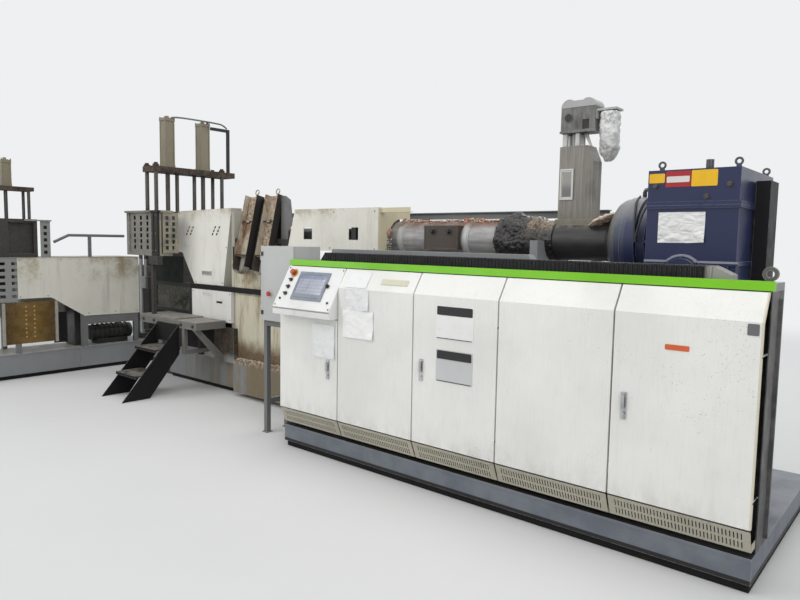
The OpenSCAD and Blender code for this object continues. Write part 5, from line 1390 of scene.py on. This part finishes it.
class EXTRUDER_OT_head(bpy.types.Operator):
    """Add the rail and the side sheet of the guard, black sheets as painted shade in gaps and recesses, and
    the scale in the troughs
    """
    bl_idname = "extruder.head"
    bl_label = "Head fittings"

    def execute(self, context):
        black = enamel("rail_black", (0.009, 0.009, 0.009), 0.55, dirt=0.15, streaks=0.2, dust=0.4)
        black.worn((0.10, 0.09, 0.075), 0.004, 0.6)
        black.dull()
        rail = block((-4.292, -0.3258, 1.079), (-2.558, -0.3003, 1.1355), 0.003)
        settle(rail, "guard_rail", black.material)
        # black sheets as painted shade: they close gaps and recesses where the machine's dark inside would
        # show
        for name, low, high in (("platform_back", (-4.45, -0.2992, 0.40), (-3.512, -0.2965, 0.748)),
                                ("filter_back", (-5.33, -0.265, 0.50), (-4.97, -0.262, 1.02)),
                                ("rail_shelf", (-4.14, -0.2998, 1.09), (-3.553, -0.175, 1.1335)),
                                ("arm_back", (-5.903, -1.17, 0.36), (-5.900, -1.02, 0.73)),
                                ("small_guard_back", (-5.8215, -1.318, 1.40), (-5.819, -1.220, 1.795)),
                                ("slot_pull", (-3.772, -0.3412, 0.948), (-3.666, -0.3395, 0.970))):
            settle(block(low, high, 0.0005), name, black.material)
        # painted shade: a black sheet in the gap between the troughs
        web = block((-3.144, 0.05, -0.073), (-3.002, 0.785, -0.070), 0.0005)
        web.matrix_world = trough_place(0)
        settle(web, "trough_web", black.material)
        # painted shade: a black strip behind the right trough
        strip = block((-2.87, -0.2432, 1.56), (-2.75, -0.2412, 2.02), 0.0005)
        settle(strip, "trough_backing", black.material)
        self.side_sheet()
        self.scale()
        return {"FINISHED"}

    def side_sheet(self):
        """Sheet that closes the guard's right side and narrows downwards, a darker beige as painted shade of
        the turned side.
        """
        sheet = block((-3.4987, -0.3003, 1.40), (-3.4957, -0.175, 1.935))
        mesh = in_edit_mode(sheet)
        for vert in mesh.verts:
            vert.select_set(vert.co.y > -0.2 and vert.co.z < 1.5)
        mesh.select_flush_mode()
        bpy.ops.transform.translate(value=(0, -0.122, 0))
        bpy.ops.mesh.select_all(action="SELECT")
        bpy.ops.mesh.bevel(offset=0.0006, segments=1, affect="EDGES")
        leave_edit_mode()
        # painted shade: the side sheet is a darker beige than the guard's front
        beige = enamel("guard_side_beige", (0.42, 0.40, 0.335), 0.55, 0.5, 0.5, 0.5)
        settle(sheet, "guard_side", beige.material)

    def scale(self):
        """Baked crumbs on the troughs' floors: above the bar in the left one, below it in the right one."""
        made = []
        for middle, low, high in ((TROUGHS[0], 0.56, 0.785), (TROUGHS[1], 0.19, 0.52)):
            patch = flat_sheet((0.176, high - low), 44, 60)
            patch.matrix_world = trough_place(middle) @ Matrix.Translation((0, (low + high) / 2, -0.060))
            crumple(patch, 0.022, 0.020, 4, "Z")
            modify(patch, "SOLIDIFY", thickness=0.002, offset=0)
            apply_place(patch)
            made.append(patch)
        settle(join(made), "trough_scale", scale_brown().material)


class EXTRUDER_OT_film(bpy.types.Operator):
    """Wrap the feed tower's motor in film"""
    bl_idname = "extruder.film"
    bl_label = "Wrapped motor"

    def execute(self, context):
        low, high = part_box("crammer_motor")
        mid = (low + high) / 2
        r = (high.x - low.x) / 2 - 0.004
        obj = drum(32, r, 0.25, (mid.x, mid.y, high.z - 0.132))
        mesh = in_edit_mode(obj)
        pick_faces(mesh, lambda c, n: n.z < -0.9)
        for fall, width in ((0.035, 0.86), (0.035, 0.62), (0.018, 0.55)):
            bpy.ops.mesh.extrude_region_move(TRANSFORM_OT_translate={"value": (0, 0, -fall)})
            bpy.ops.transform.resize(value=(width, width, 1))
        pick_faces(mesh, lambda c, n: n.z > 0.9)
        bpy.ops.mesh.inset(thickness=0.012)
        leave_edit_mode()
        modify(obj, "REMESH", mode="VOXEL", voxel_size=FINE_VOXEL)
        crumple(obj, 0.05, 0.022, 4)
        crumple(obj, 0.018, 0.007, 2)
        smooth(obj, 80)
        settle(obj, "motor_film", wrapped_film().material)
        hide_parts("crammer_motor")
        return {"FINISHED"}


class EXTRUDER_OT_pipes(bpy.types.Operator):
    """Run the rigid pipes on the housing and the cylinders"""
    bl_idname = "extruder.pipes"
    bl_label = "Pipes"

    def execute(self, context):
        r = sizes().pipe / 2
        grey = bare_metal("pipe_steel", (0.20, 0.20, 0.20), 0.38, (1, 1, 0.2), 0.5, 0.8).material
        black = rubber("pipe_black").material
        run = [(x, y, HOUSING_TOP + up) for x, y, up in (
            (0.690, 0, 0), (0.692, -0.01, 0.035), (0.74, -0.03, 0.035), (0.82, -0.06, 0.02),
            (0.853, -0.08, -0.005))]
        settle(pipe(run, r), "housing_pipe", grey)
        drops = [[(0.675, -0.04, 1.975), (0.690, -0.14, 1.950), (0.715, -0.22, 1.892), (0.735, -0.287, 1.80),
                  (0.750, -0.314, 1.72), (0.756, -0.312, 1.675)],
                 [(0.845, -0.12, 1.965), (0.800, -0.20, 1.925), (0.785, -0.268, 1.86), (0.770, -0.308, 1.77),
                  (0.759, -0.314, 1.70)]]
        coupling = [(0.756, -0.313, 1.708), (0.7565, -0.312, 1.690), (0.757, -0.311, 1.668)]
        settle(join([pipe(p, r * 0.5) for p in drops] + [pipe(coupling, r * 0.95)]), "housing_drain", black)
        shared = [(-4.836, 0.20, 3.066), (-4.836, 0.40, 3.064), (-4.836, 0.50, 3.058), (-4.838, 0.552, 3.02)]
        feeds = [[(-4.868, y + 0.02, 3.048), (-4.84, y + 0.04, 3.062), *shared] for y in (-0.22, 0.26)]
        settle(join([pipe(p, 0.010) for p in feeds]), "cylinder_pipes", grey)
        return {"FINISHED"}


OPERATORS = (EXTRUDER_OT_stage, EXTRUDER_OT_finishes, EXTRUDER_OT_papers, EXTRUDER_OT_fasteners,
             EXTRUDER_OT_console, EXTRUDER_OT_barrel, EXTRUDER_OT_head, EXTRUDER_OT_film, EXTRUDER_OT_pipes)


class EXTRUDER_PT_sidebar(bpy.types.Panel):
    """Colours, sizes and steps of the extruder"""
    bl_idname = "EXTRUDER_PT_sidebar"
    bl_label = "Plastic Extruder"
    bl_space_type = "VIEW_3D"
    bl_region_type = "UI"
    bl_category = "Extruder"

    def draw(self, context):
        column = self.layout.column()
        for group in (context.scene.extruder_colours, context.scene.extruder_sizes):
            for key in group.__annotations__:
                column.prop(group, key)
        for step in OPERATORS:
            column.operator(step.bl_idname)


CLASSES = (ExtruderColours, ExtruderSizes, *OPERATORS, EXTRUDER_PT_sidebar)


def register():
    for cls in CLASSES:
        bpy.utils.register_class(cls)
    bpy.types.Scene.extruder_colours = bpy.props.PointerProperty(type=ExtruderColours)
    bpy.types.Scene.extruder_sizes = bpy.props.PointerProperty(type=ExtruderSizes)


def unregister():
    del bpy.types.Scene.extruder_sizes
    del bpy.types.Scene.extruder_colours
    for cls in reversed(CLASSES):
        bpy.utils.unregister_class(cls)


def main():
    register()
    free_selection()
    bpy.ops.extruder.stage()
    bpy.ops.extruder.finishes()
    bpy.ops.extruder.papers()
    bpy.ops.extruder.fasteners()
    bpy.ops.extruder.console()
    bpy.ops.extruder.barrel()
    bpy.ops.extruder.head()
    bpy.ops.extruder.film()
    bpy.ops.extruder.pipes()


if __name__ == "__main__":
    main()
